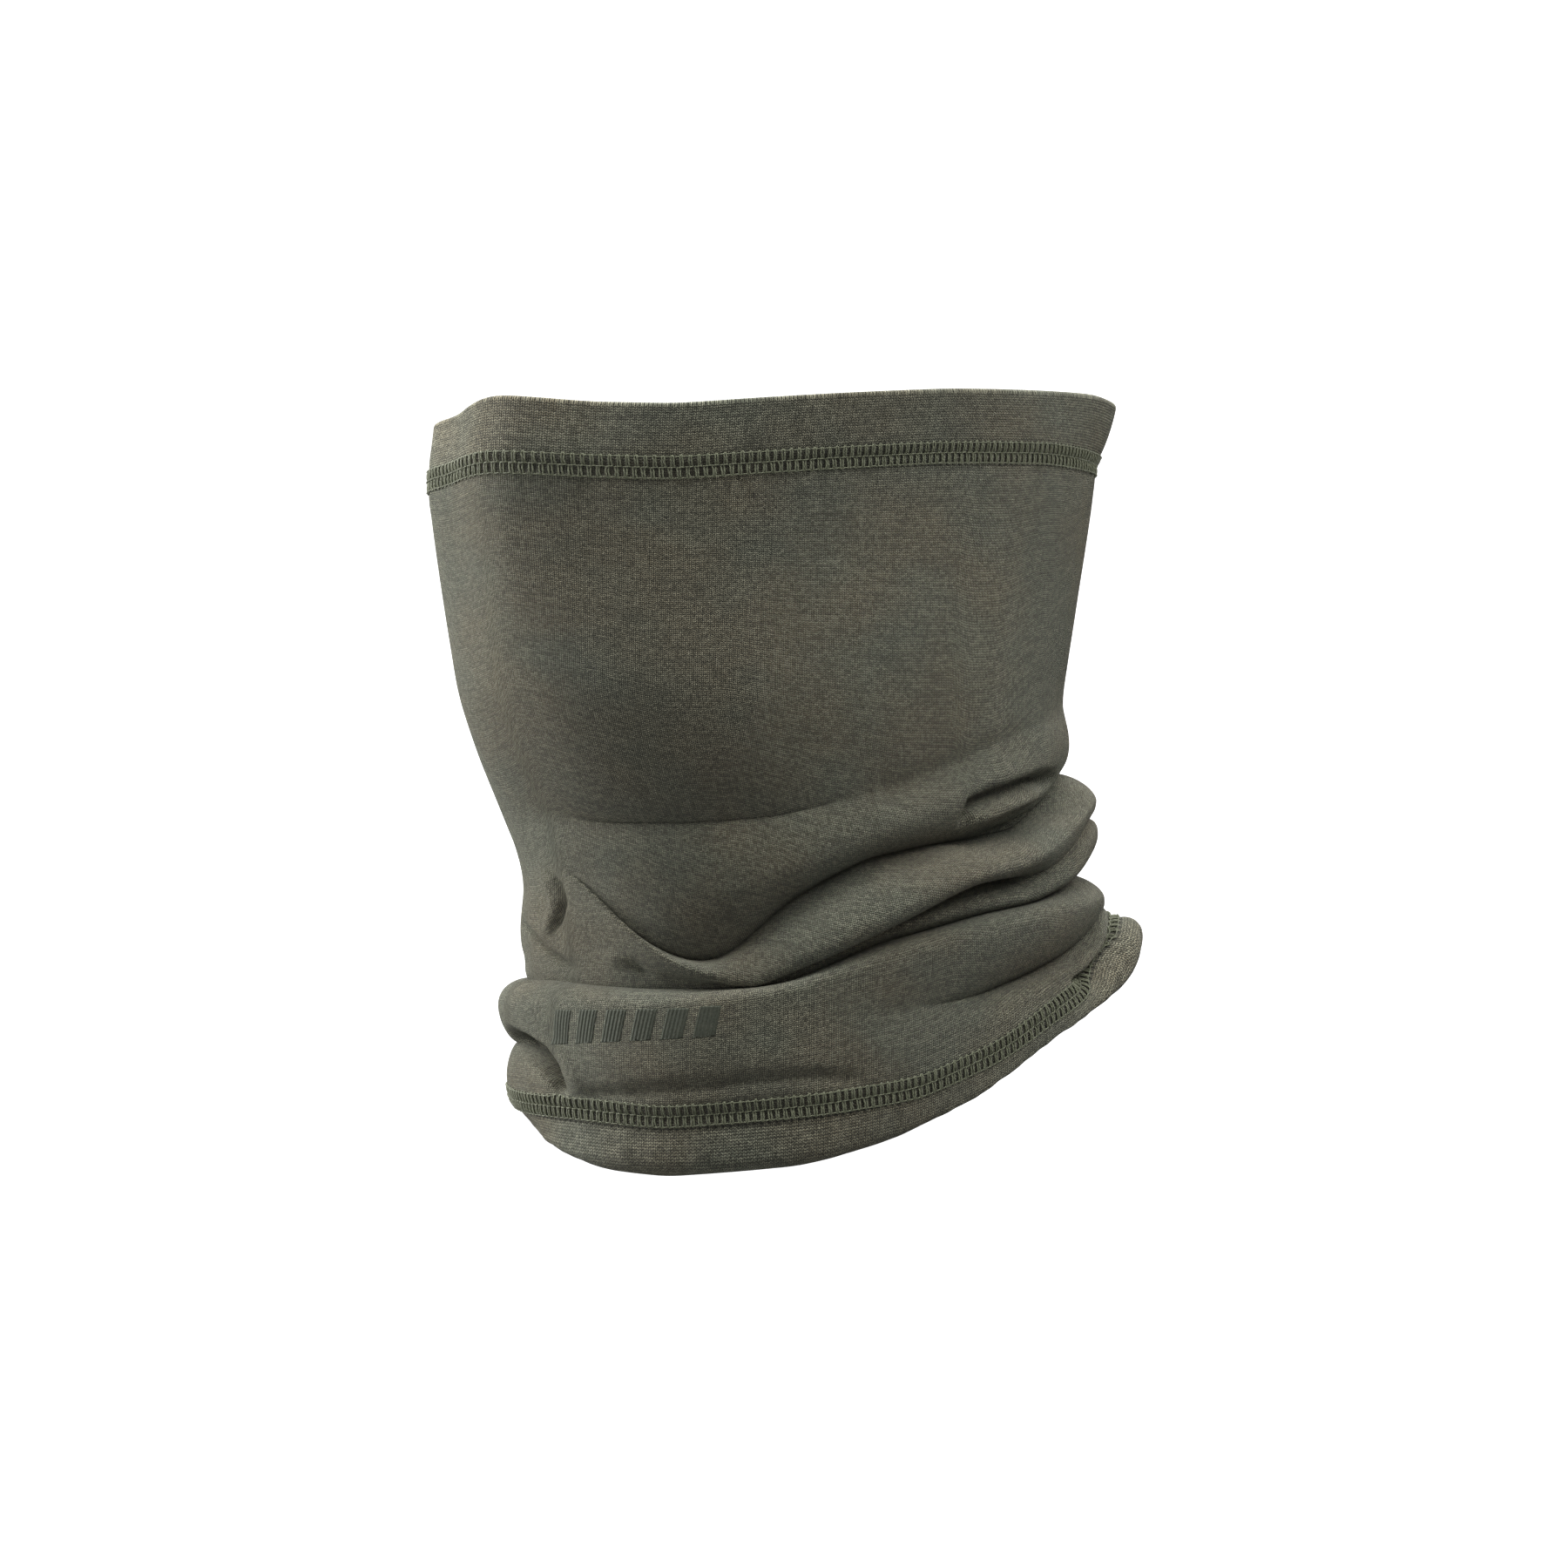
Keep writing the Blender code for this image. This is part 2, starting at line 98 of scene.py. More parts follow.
# The transfer on the collar.
BAR_COUNT = 6
BAR_WIDTH = 6.0
BAR_HEIGHT = 11.0
BAR_START_ANGLE = 13.0
BAR_PITCH_ANGLE = 6.4
BAR_LEAN_ANGLE = 1.6
FILM_LIFT = 0.03          # of a bar's edge from the cloth, and of its middle from its edge
FILM_EDGE = 0.6           # how far in from its edge a bar is at its full height
FILM_THICKNESS = 0.1

# Colours.
GREENISH = (0.190, 0.205, 0.150, 1.0)
BROWNISH = (0.230, 0.198, 0.128, 1.0)
PALE_FIBRE = (0.560, 0.545, 0.400, 1.0)
DARK_FIBRE = (0.040, 0.040, 0.030, 1.0)
# painted shade: for the knit's low places, the cloth under the hem seams and the needle holes
PAINTED_SHADE = (0.016, 0.016, 0.012, 1.0)
THREAD_PALE = (0.165, 0.175, 0.112, 1.0)
THREAD_DARK = (0.105, 0.112, 0.070, 1.0)
# painted shade for the grooves between the thread's plies
THREAD_GROOVE_SHADE = (0.040, 0.042, 0.028, 1.0)
RIBBON_PALE = (0.70, 0.70, 0.66, 1.0)
RIBBON_DARK = (0.50, 0.50, 0.46, 1.0)
FILM_PALE = (0.052, 0.058, 0.042, 1.0)
FILM_DARK = (0.034, 0.038, 0.028, 1.0)
FILM_WORN = (0.085, 0.086, 0.068, 1.0)
UV_NAME = "knit"

# Studio.
VIEW_AZIMUTH = 63.0
CAMERA_LENS = 100.0
CAMERA_DISTANCE = 1.3
LIGHT_DISTANCE = 1.4
LIGHTS = (
    ("left_light", -105.0, 20.0, 0.5, 1.2, 44.0), ("left_high_light", -60.0, 50.0, 0.5, 0.8, 9.0),
    ("right_high_light", 64.0, 46.0, 0.5, 0.8, 18.0), ("top_light", 0.0, 75.0, 0.9, 0.6, 15.0),
    ("back_light", 180.0, 65.0, 0.9, 0.6, 36.0), ("table_light", -25.0, -12.0, 1.2, 0.4, 2.5),
)
WORLD_LIGHT = 0.30
BACKDROP_GLOW = 1.0
FLOOR_GLOW = 0.75
FLOOR_HEIGHT = -0.34
STAGE_RADIUS = 3.2

# How the cloth bends between its rings.
SOFTEN = 7.0              # degrees over which a ring's stations are blended
BODY_SOFTEN = 12.0        # height over which the head and neck's sections are blended
CREASE_DEPTH = 5.0        # a ring this much deeper than its neighbours is a full crease
QUARTER_ARC = math.pi / 2.0
BLEND_STEPS = np.linspace(-1.0, 1.0, 9)
BLEND_WEIGHTS = np.cos(BLEND_STEPS * math.pi / 2.0) ** 2 / 4.0

# What the cloth lies on: (height, half depth, half width, centre towards the nape).
HEAD_AND_NECK = (
    (112, 104, 78, -2), (88, 104, 78, -5), (60, 99, 76, -6), (26, 94, 75, -7),
    (8, 91, 74, -4), (-8, 87, 73, -1), (-26, 83, 72, 2), (-50, 82, 72, 4), (-112, 82, 72, 4),
)

# The rings of the cloth from top to bottom, each through a few stations:
# (angle, height, reach beyond the head or neck).
TOP_EDGE = (
    (-13, 104, 1), (0, 105, -2), (14, 109, 5), (30, 106, 0), (45, 105, 2), (72, 108, 3),
    (100, 111, 3), (130, 113, 1), (146, 114, 1), (158, 113, 3), (180, 113, 1), (230, 111, 0),
    (270, 109, 0), (315, 106, 0), (331, 105, -3),
)
TOP_SEAM = (
    (-13, 88, 1), (0, 89, -2), (14, 91, 4), (30, 89, -1), (45, 88, 0), (72, 91, 0),
    (100, 94, 0), (130, 96, 0), (150, 96, -2), (165, 96, -2), (180, 96, -1), (230, 94, 0),
    (270, 92, 0), (315, 89, 0), (331, 88, -2),
)
CHEEK = ((-13, 62, 1), (0, 62, -2), (14, 62, 3), (30, 62, 0), (153, 63, -1), (180, 64, 0),
         (300, 62, 0), (331, 62, -2))
JAW = (
    (-27, 30, -2), (0, 28, 0), (22, 18, 1.5), (60, 16, 1.5), (90, 28, 0), (153, 36, -1), (180, 38, 0),
    (270, 31, 0),
)
UNDER_JAW = (
    (-27, -7, -2), (10, -8, -2), (24, -11, -3), (42, -11, -3.4), (62, -9, -2.7), (90, -1, -1),
    (110, 7, -1), (130, 15, -1), (153, 23, -1), (180, 24, 0), (215, 16, -1), (250, 4, -1), (290, -6, -1),
)
UPPER_SWELL = (
    (-27, -20, -3), (10, -15, -1), (26, -24, 1), (36, -28, 1.5), (50, -28, 1.5), (66, -22, 1.5),
    (80, -15, 2),
    (96, -9, 2), (112, -2, 2), (130, 5, 2), (153, 11, 1), (180, 12, 2), (210, 3, 2), (245, -10, 2),
    (290, -20, 1),
)
CREASE_UNDER_JAW = (
    (-27, -34, -2), (0, -27, -1), (10, -20, 0), (18, -29, 0), (26, -40, 0), (32, -47, -2),
    (39, -51, -7), (45, -50, -12), (52, -43, -13), (61, -34, -14), (72, -27, -14), (84, -21, -13),
    (100, -18, -13), (118, -16, -13), (134, -14, -12), (144, -9, -10), (151, -1, -7), (158, 3, -4),
    (180, 3, -3), (205, -6, -6), (235, -20, -6), (265, -27, -6), (295, -38, -2), (315, -38, 0),
)
UPPER_ROLL = (
    (-27, -47, 1), (0, -38, 0), (8, -29, 0), (15, -29, 1), (20, -33, 1.5), (28, -42, 2.5),
    (35, -49, 3), (42, -53, 3), (50, -55, 1), (55, -55, 0), (60, -51, 2), (70, -45, 5),
    (80, -39, 7), (90, -33, 8), (100, -28, 8), (108, -25, 8), (116, -24, 8), (126, -20, 9),
    (140, -12, 9), (153, -5, 10), (180, -6, 10), (205, -16, 9), (235, -29, 8), (265, -37, 8),
    (290, -46, 7), (315, -52, 6),
)
CREASE_UNDER_ROLL = (
    (-27, -53, 0), (0, -48, 0), (10, -46, 0), (20, -50, -1), (32, -54, -1), (43, -56, -1),
    (54, -56.5, -3), (60, -53, -6), (70, -48.5, -9), (82, -42, -11), (92, -37.5, -12),
    (100, -33, -13), (108, -29.5, -13), (118, -28, -13), (125, -28, -10), (130, -26, 3),
    (140, -20, 6), (153, -10, 8), (180, -12, 7), (205, -22, 4), (235, -36, 0), (265, -45, -2),
    (290, -54, -2), (315, -57, 0),
)
MIDDLE_ROLL = (
    (-27, -56, 0), (20, -54, -1), (43, -57, -2), (60, -54, -4), (70, -49.5, -5), (81, -43.5, -4),
    (90, -40, -1), (96, -38, 1), (109, -34.5, 2), (127, -32, 4), (140, -25, 9), (153, -15, 11),
    (180, -17, 10), (205, -26, 8), (235, -39, 5), (265, -48, 3), (290, -56, 1), (315, -59, 1),
)
CREASE_OVER_COLLAR = (
    (-27, -58, -1), (5, -57, -2), (17, -58, -2), (31, -58.5, -3), (48, -58, -4), (56, -57.5, -5),
    (64, -55, -6), (72, -51, -8), (84, -45.5, -9), (97, -42, -9), (111, -38, -8), (128, -35.5, -6),
    (140, -32, -4), (153, -27, 0), (180, -28, 2), (205, -35, 0), (235, -46, -2), (265, -54, -3),
    (295, -61, -3),
)
COLLAR = (
    (-27, -65.5, 8), (-8, -65, 8), (3, -65, 7), (42, -63, 5), (59, -60, 5), (76, -53, 5), (96, -46, 6),
    (124, -39, 9), (153, -34, 13), (180, -35, 12), (205, -43, 9), (235, -54, 6), (265, -62, 6),
    (295, -69, 7),
)
COLLAR_HOLLOW = (
    (-27, -76, 0), (-12, -76, 2), (3, -76, 5), (20, -74, 6), (40, -72, 6), (59, -70, 5),
    (75, -66, 4), (90, -63, 3), (100, -62, 1), (110, -60.5, -3), (120, -58, -5), (131, -55, -5),
    (140, -51, -1), (147, -45, 6), (154, -37.5, 12), (162, -37, 13), (180, -41, 8), (205, -50, 4),
    (235, -62, 1), (265, -72, 2), (300, -77, 3),
)
BELLY = (
    (-27, -84, 5), (20, -82, 6), (40, -81, 6), (59, -79, 5), (75, -77, 4), (92, -73, 4),
    (107, -69, 5), (123, -61, 7), (132, -57, 7), (141, -53.5, 9), (148, -47, 13), (154, -39.5, 14),
    (163, -38.5, 14), (173, -42, 16), (180, -47, 20), (205, -56, 8), (235, -70, 5), (265, -81, 5),
)
BOTTOM_SEAM = (
    (-27, -91.5, 5), (-5, -92.5, 4), (15, -92.5, 4), (36, -94, 4), (53, -92, 3), (69, -90, 3), (90, -86, 4),
    (111, -76, 6), (125, -66, 9), (134, -61.5, 10), (141, -58, 10), (147, -52, 12),
    (154, -42, 14), (163, -39.5, 15), (172, -46, 17), (180, -56, 16), (205, -60, 12),
    (235, -76, 7), (265, -88, 4), (300, -93, 4),
)
HEM_SWELL = (
    (-27, -96.5, -1), (-8, -99.5, -1), (8, -103, 2), (22, -105.5, 4), (45, -106, 4), (69, -103, 3),
    (86, -97, 3), (105, -88, 5), (125, -73, 9), (141, -63, 15), (148, -56, 21), (154, -46.5, 24),
    (162, -44, 24), (171, -53, 22), (180, -58, 19), (205, -67, 13), (235, -84, 6), (265, -96, 2),
)
BOTTOM_EDGE = (
    (-27, -99.5, -11), (-12, -102, -11), (6, -106, -8), (20, -110, -4), (34, -111, -2),
    (64, -107.5, -3), (86, -100.5, -4), (105, -89.5, -3), (128, -72, 2), (141, -65, 6), (153, -62, 11),
    (180, -64, 12), (205, -73, 7), (235, -90, 0), (265, -103, -4), (300, -107, -4),
)

RINGS = (
    TOP_EDGE, TOP_SEAM, CHEEK, JAW, UNDER_JAW, UPPER_SWELL,
    CREASE_UNDER_JAW, UPPER_ROLL, CREASE_UNDER_ROLL, MIDDLE_ROLL, CREASE_OVER_COLLAR, COLLAR,
    COLLAR_HOLLOW, BELLY, BOTTOM_SEAM, HEM_SWELL, BOTTOM_EDGE,
)
TOP_SEAM_LEVEL = 1
COLLAR_LEVEL = 11
BOTTOM_SEAM_LEVEL = 14
LAST_LEVEL = len(RINGS) - 1

# Small folds on the rings' surface: a line through (angle, height), how far it stands out
# (or lies in), how wide it is, and the levels that it lies on.
SMALL_FOLDS = {
    "tuck_by_the_chin": (((7.5, -24.5), (10, -28.5), (11, -33.5), (9, -38.5), (5.5, -43)),
        -1.3, 1.1, (4.5, 9.0)),
    "lobe_before_the_tuck": (((3.5, -25), (6.5, -29), (7.5, -34), (5.5, -39), (2, -43)),
        1.6, 2.4, (4.5, 9.0)),
    "crease_by_the_throat": (((-14, -39), (-6, -43.5), (0, -47), (6, -50.5), (11, -53)),
        -2.6, 1.3, (6.8, 9.6)),
    "bump_over_the_collar": (((20, -49), (26, -51)), 1.4, 2.5, (6.5, 9.6)),
    "dimple_over_the_collar": (((27, -50.5), (30, -53.5)), -1.6, 1.4, (6.5, 9.6)),
    "pinch_at_the_throat": (((-9, -73.5), (0, -75.5), (6, -79), (9.5, -83), (11, -87)),
        -13.0, 2.5, (11.3, 13.9)),
    "lip_of_the_pinch": (((-3, -71), (8, -73.5), (13, -78), (16, -83), (17, -87.5)),
        1.0, 2.2, (11.3, 13.9)),
    "soft_crease_over_the_hem": (((17, -89), (32, -87), (44, -85), (55, -83), (66, -82), (76, -83)),
        -1.3, 2.2, (12.8, 13.9)),
    "hollow_behind_the_jaw": (((108, -10), (110, -6), (116, -3.5), (124, -1.5), (133, 1), (143, 2)),
        -7.0, 2.0, (4.6, 6.8)),
    "small_roll_in_the_hollow": (((110, -12), (117, -8.5), (125, -5.5), (134, -2.5)),
        3.4, 2.2, (4.8, 6.8)),
    "line_under_the_small_roll": (((120, -14), (129, -12), (136, -9.5), (143, -6)),
        -2.6, 1.4, (5.0, 6.9)),
    "shade_behind_the_jaw": (((85, -1), (98, 1), (109, 5), (120, 9), (132, 12)),
        -1.6, 6.0, (3.5, 5.2)),
    "slot_over_the_hem": (((136, -58.5), (141, -56.5), (146, -53), (151, -47.5)),
        -4.5, 1.5, (12.9, 14.6)),
    "pressed_line": (((82, 86), (84, 40), (86, 5), (84, -14)), 0.30, 1.1, (1.2, 5.6)),
}
FOLD_TAPER = 5.0          # length over which a small fold rises at each end
SCALE_RADIUS = 80.0       # turns angles into lengths along the cloth


def blended(stations, places, column, spread, period=None):
    """One column of a table of stations at many places, blended between the stations."""
    table = np.array(stations, dtype=float)
    total = np.zeros(len(places))
    for step, weight in zip(BLEND_STEPS, BLEND_WEIGHTS):
        total += weight * np.interp(places + step * spread, table[:, 0], table[:, column],
                                    period=period)
    return total


def lengths_along(points):
    """How far each point is along its line of points, from the line's first one."""
    steps = np.linalg.norm(np.diff(points, axis=0), axis=-1)
    return np.concatenate([np.zeros_like(steps[:1]), np.cumsum(steps, axis=0)])


def meridian_slope(before, here, after, side):
    """The direction in which the cloth leaves (side 1) or reaches (side -1) a ring."""
    smooth = 0.5 * (after - before)
    depth = 0.5 * (before[1] + after[1]) - here[1]
    bend = np.clip(np.abs(depth) / CREASE_DEPTH, 0.0, 1.0)
    neighbour = after if side > 0 else before
    nothing = np.zeros_like(depth)
    crease = np.stack([nothing, QUARTER_ARC * side * (neighbour[1] - here[1])])
    crest = np.stack([QUARTER_ARC * smooth[0], nothing])
    arc = np.where(depth > 0.0, crease, crest)
    return (1.0 - bend) * smooth + bend * arc


def small_folds(levels, angles, heights):
    """How far the small folds move the cloth outwards at these points."""
    moved = np.zeros(len(angles))
    for line, rise, width, (first, last) in SMALL_FOLDS.values():
        points = np.array(line, dtype=float)
        middle = points[:, 0].mean()
        turn = (angles - middle + 180.0) % 360.0 - 180.0
        across = np.radians(turn) * SCALE_RADIUS
        line_across = np.radians(points[:, 0] - middle) * SCALE_RADIUS
        steps = np.hypot(np.diff(line_across), np.diff(points[:, 1]))
        starts = np.concatenate([[0.0], np.cumsum(steps)])
        nearest = np.full(len(angles), np.inf)
        place = np.zeros(len(angles))
        for i, step in enumerate(steps):
            way = np.array([line_across[i + 1] - line_across[i], points[i + 1, 1] - points[i, 1]]) / step
            off_a = across - line_across[i]
            off_h = heights - points[i, 1]
            along = np.clip(off_a * way[0] + off_h * way[1], 0.0, step)
            distance = np.hypot(off_a - along * way[0], off_h - along * way[1])
            closer = distance < nearest
            nearest = np.where(closer, distance, nearest)
            place = np.where(closer, starts[i] + along, place)
        ends = np.minimum(place, starts[-1] - place)
        taper = 0.35 + 0.65 * np.clip(ends / FOLD_TAPER, 0.0, 1.0)
        inside = np.clip(2.5 * np.minimum(levels - first, last - levels), 0.0, 1.0)
        moved += rise * np.exp(-(nearest / width) ** 2) * taper * inside
    return moved


def body_section(heights):
    """Half depth, half width and centre of what the cloth lies on, at many heights."""
    return [blended(sorted(HEAD_AND_NECK), heights, column, BODY_SOFTEN) for column in (1, 2, 3)]


def cloth_points(levels, angles):
    """Points on the middle of the cloth, one for each level and angle, in millimetres."""
    levels = np.clip(np.asarray(levels, dtype=float), 0.0, LAST_LEVEL)
    columns, column_of = np.unique(np.round(np.asarray(angles) % 360.0, 6), return_inverse=True)
    rings = np.array([[blended(ring, columns, column, SOFTEN, 360.0) for column in (1, 2)]
                      for ring in RINGS])
    index = np.minimum(levels.astype(int), LAST_LEVEL - 1)
    t = levels - index

    def ring(number):
        return rings[np.clip(number, 0, LAST_LEVEL), :, column_of].T

    start, end = ring(index), ring(index + 1)
    leave = meridian_slope(ring(index - 1), start, end, 1)
    arrive = meridian_slope(start, end, ring(index + 2), -1)
    heights, reach = ((2 * t**3 - 3 * t**2 + 1) * start + (t**3 - 2 * t**2 + t) * leave
                      + (3 * t**2 - 2 * t**3) * end + (t**3 - t**2) * arrive)
    reach = reach + small_folds(levels, angles, heights)
    half_depth, half_width, centre = body_section(heights)
    turn = np.radians(angles)
    radius = 1.0 / np.hypot(np.sin(turn) / half_width, np.cos(turn) / half_depth) + reach
    return np.stack([radius * np.sin(turn), centre - radius * np.cos(turn), heights], axis=-1)


def cloth_frames(levels, angles):
    """Points on the cloth with the way down it and the way out of it, in millimetres."""
    step_level, step_angle = 0.02, 0.25
    points = cloth_points(levels, angles)
    down = cloth_points(levels + step_level, angles) - cloth_points(levels - step_level, angles)
    down /= np.linalg.norm(down, axis=-1, keepdims=True)
    round_it = cloth_points(levels, angles + step_angle) - cloth_points(levels, angles - step_angle)
    out = np.cross(down, round_it)
    out /= np.linalg.norm(out, axis=-1, keepdims=True)
    return points, down, out


def levels_at(seam, along, angles):
    """The levels that lie some millimetres down the cloth from a seam's ring."""
    samples = seam + np.linspace(-0.95, 0.95, 39)
    middle = len(samples) // 2
    size = len(angles)
    points = cloth_points(np.repeat(samples, size), np.tile(angles, len(samples)))
    arcs = lengths_along(points.reshape(len(samples), size, 3))
    arcs -= arcs[middle]
    return np.array([np.interp(along, arcs[:, i], samples) for i in range(size)])


# -------- meshes

def mesh_object(name, vertices, faces, uvs=None, materials=()):
    """A smooth mesh piece from points in metres, with a UV map in metres of real thread or cloth."""
    mesh = bpy.data.meshes.new(name)
    mesh.from_pydata(np.asarray(vertices).tolist(), [], faces)
    for material in materials:
        mesh.materials.append(material)
    if uvs is not None:
        layer = mesh.uv_layers.new(name=UV_NAME)
        layer.data.foreach_set("uv", np.asarray(uvs, dtype=np.float32).ravel())
        layer.active_render = True
    mesh.shade_smooth()
    made = bpy.data.objects.new(name, mesh)
    bpy.context.scene.collection.objects.link(made)
    return made


def grid_faces(rows, columns, wrap):
    """Quads of a grid, numbered row by row; wrap joins the last column to the first."""
    last = columns if wrap else columns - 1
    row, column = np.meshgrid(np.arange(rows - 1), np.arange(last), indexing="ij")
    beside = (column + 1) % columns
    quads = np.stack([row * columns + column, (row + 1) * columns + column,
                      (row + 1) * columns + beside, row * columns + beside], axis=-1)
    return quads.reshape(-1, 4)


def transported_frames(path, closed):
    """Two ways across a path at each of its points, turned as little as possible."""
    if closed:
        tangents = np.roll(path, -1, axis=0) - np.roll(path, 1, axis=0)
    else:
        tangents = np.gradient(path, axis=0)
    tangents /= np.linalg.norm(tangents, axis=1, keepdims=True)
    side = np.cross(tangents[0], [0.31, 0.17, 0.93])
    side /= np.linalg.norm(side)
    sides = np.empty_like(path)
    for i, tangent in enumerate(tangents):
        side = side - tangent * (side @ tangent)
        side /= math.sqrt(side @ side)
        sides[i] = side
    others = np.cross(tangents, sides)
    if closed:
        last = sides[-1] - tangents[0] * (sides[-1] @ tangents[0])
        gap = math.atan2(last @ others[0], last @ sides[0])
        back = -gap * np.arange(len(path)) / len(path)
        cos, sin = np.cos(back)[:, None], np.sin(back)[:, None]
        sides, others = sides * cos + others * sin, others * cos - sides * sin
    return sides, others


def attach(piece, slot, *nodes):
    """The piece stands for its CAD nodes and rides with the one body there is."""
    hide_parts(*nodes)
    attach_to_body(piece, "root")
    return piece


def thread_piece(name, node, path, radius, material, closed):
    """A round thread along a path in metres, which stands for one CAD node."""
    sides = THREAD_SIDES
    across, other = transported_frames(path, closed)
    turns = np.arange(sides) * 2.0 * math.pi / sides
    around = (np.cos(turns)[None, :, None] * across[:, None]
              + np.sin(turns)[None, :, None] * other[:, None])
    rings = path[:, None] + radius * MM * around
    count = len(path)
    steps = np.linalg.norm(np.roll(path, -1, axis=0) - path, axis=1)
    lengths = np.concatenate([[0.0], np.cumsum(steps)])
    joins = count if closed else count - 1
    row, column = np.meshgrid(np.arange(joins), np.arange(sides), indexing="ij")
    next_row, next_column = (row + 1) % count, (column + 1) % sides
    faces = np.stack([row * sides + column, row * sides + next_column,
                      next_row * sides + next_column, next_row * sides + column],
                     axis=-1).reshape(-1, 4)
    low, high = lengths[row], lengths[row + 1]
    left, right = column / sides, (column + 1) / sides
    uvs = np.stack([low, left, low, right, high, right, high, left], axis=-1).reshape(-1, 2)
    faces = faces.tolist()
    if not closed:
        faces.append(list(range(sides))[::-1])
        faces.append([(count - 1) * sides + i for i in range(sides)])
        uvs = np.concatenate([uvs, np.zeros((2 * sides, 2))])
    attach(mesh_object(name, rings.reshape(-1, 3), faces, uvs, (material,)), "sewing_thread", node)


# -------- cloth

def cloth_rows(angles):
    """The cloth's rows from one turned hem to the other, in the order that the panel was cut.

    Each row is (its level in every column, how far down the cloth, how far out of it).
    """
    top_end = levels_at(TOP_SEAM_LEVEL, HEM_OVERLAP, angles)
    bottom_end = levels_at(BOTTOM_SEAM_LEVEL, -HEM_OVERLAP, angles)
    same = np.ones(len(angles))
    rows = [(top_end * share, 0.0, -HEM_LAYERS) for share in np.linspace(1.0, 0.0, HEM_ROWS)]
    folds = [(EDGE_ROUND * math.sin(turn), -HEM_LAYERS * (1.0 + math.cos(turn)) / 2)
             for turn in FOLD_TURNS]
    rows += [(0.0 * same, -along, off) for along, off in folds]
    main = np.concatenate([np.linspace(0.0, 2.0, 76)[:-1], np.linspace(2.0, 5.0, 46)[:-1],
                           np.linspace(5.0, 13.0, 200)[:-1], np.linspace(13.0, LAST_LEVEL, 70)])
    rows += [(level * same, 0.0, 0.0) for level in main]
    rows += [(LAST_LEVEL * same, along, off) for along, off in folds[::-1]]
    rows += [(LAST_LEVEL + (bottom_end - LAST_LEVEL) * share, 0.0, -HEM_LAYERS)
             for share in np.linspace(0.0, 1.0, HEM_ROWS)]
    return rows


def flat_lengths(points, levels, main_rows):
    """How far each point lay from the top fold before the cloth was worn, in millimetres."""
    worn = lengths_along(points)
    first, last = main_rows
    worn = worn - worn[first]
    flat = np.empty_like(worn)
    for i in range(points.shape[1]):
        column = levels[first:last, i]
        seams = np.interp([TOP_SEAM_LEVEL, BOTTOM_SEAM_LEVEL], column, worn[first:last, i])
        ends = [worn[0, i], 0.0, seams[0], seams[1], worn[last - 1, i], worn[-1, i]]
        turned = HEM_DEPTH + HEM_OVERLAP
        seam = FLAT_LENGTH - HEM_DEPTH
        fold = seam + max(HEM_DEPTH, (worn[last - 1, i] - seams[1]) / HEM_STRETCH)
        cut = [-turned, 0.0, HEM_DEPTH, seam, fold, fold + turned]
        flat[:, i] = np.interp(worn[:, i], ends, cut)
    return flat


def make_cloth(face, back):
    """The knitted tube with both hems turned in, as one sheet with real thickness."""
    angles = np.arange(CLOTH_COLUMNS) * 360.0 / CLOTH_COLUMNS
    rows = cloth_rows(angles)
    levels = np.array([row[0] for row in rows])
    along = np.array([row[1] for row in rows])[:, None, None]
    off = np.array([row[2] for row in rows])[:, None]
    grid_angles = np.tile(angles, (len(rows), 1))
    points, down, out = cloth_frames(levels.ravel(), grid_angles.ravel())
    points, down, out = (part.reshape(len(rows), CLOTH_COLUMNS, 3) for part in (points, down, out))
    first = HEM_ROWS + len(FOLD_TURNS)
    last = len(rows) - first
    flat = flat_lengths(points, levels, (first, last))
    pucker = seam_pucker(flat, grid_angles)
    placed = points + along * down + (off + pucker)[..., None] * out
    faces = grid_faces(len(rows), CLOTH_COLUMNS, True)
    row, column = np.divmod(faces, CLOTH_COLUMNS)
    from_nape = (column - CLOTH_COLUMNS // 2) % CLOTH_COLUMNS
    wrapped = from_nape.max(axis=1, keepdims=True) == CLOTH_COLUMNS - 1
    from_nape = np.where(wrapped & (from_nape == 0), CLOTH_COLUMNS, from_nape)
    u = from_nape / CLOTH_COLUMNS * FLAT_WIDTH * MM
    v = flat[row, column] * MM
    piece = mesh_object("gaiter_cloth", placed.reshape(-1, 3) * MM, faces.tolist(),
                        np.stack([u, v], axis=-1).reshape(-1, 2), (face, back))
    solid = piece.modifiers.new("cloth_thickness", "SOLIDIFY")
    solid.thickness = CLOTH_THICKNESS * MM
    solid.offset = 0.0
    solid.material_offset = 1
    solid.material_offset_rim = 1
    return piece


def seam_pucker(flat, angles):
    """How the needle lines pull the cloth in and the hems puff up beside them."""
    pulled = np.zeros_like(flat)
    for seam in HEM_SEAM_LINES:
        for line in (-1.0, 0.0, 1.0):
            middle = seam + line * HEM_SEAM_WIDTH / 2.0
            pulled -= NEEDLE_PULL * np.exp(-((flat - middle) / PULL_WIDTH) ** 2)
    beside = np.minimum(np.abs(flat - HEM_DEPTH), np.abs(flat - FLAT_LENGTH + HEM_DEPTH))
    around = np.exp(-((beside - PUFF_AT) / PUFF_WIDTH) ** 2)
    turn = np.radians(angles)
    waves = np.sin(41.0 * turn + 1.3) + 0.7 * np.sin(67.0 * turn + 0.4) + 0.5 * np.sin(97.0 * turn)
    return pulled + HEM_RIPPLE * around * waves + HEM_PUFF * around


# -------- stitches

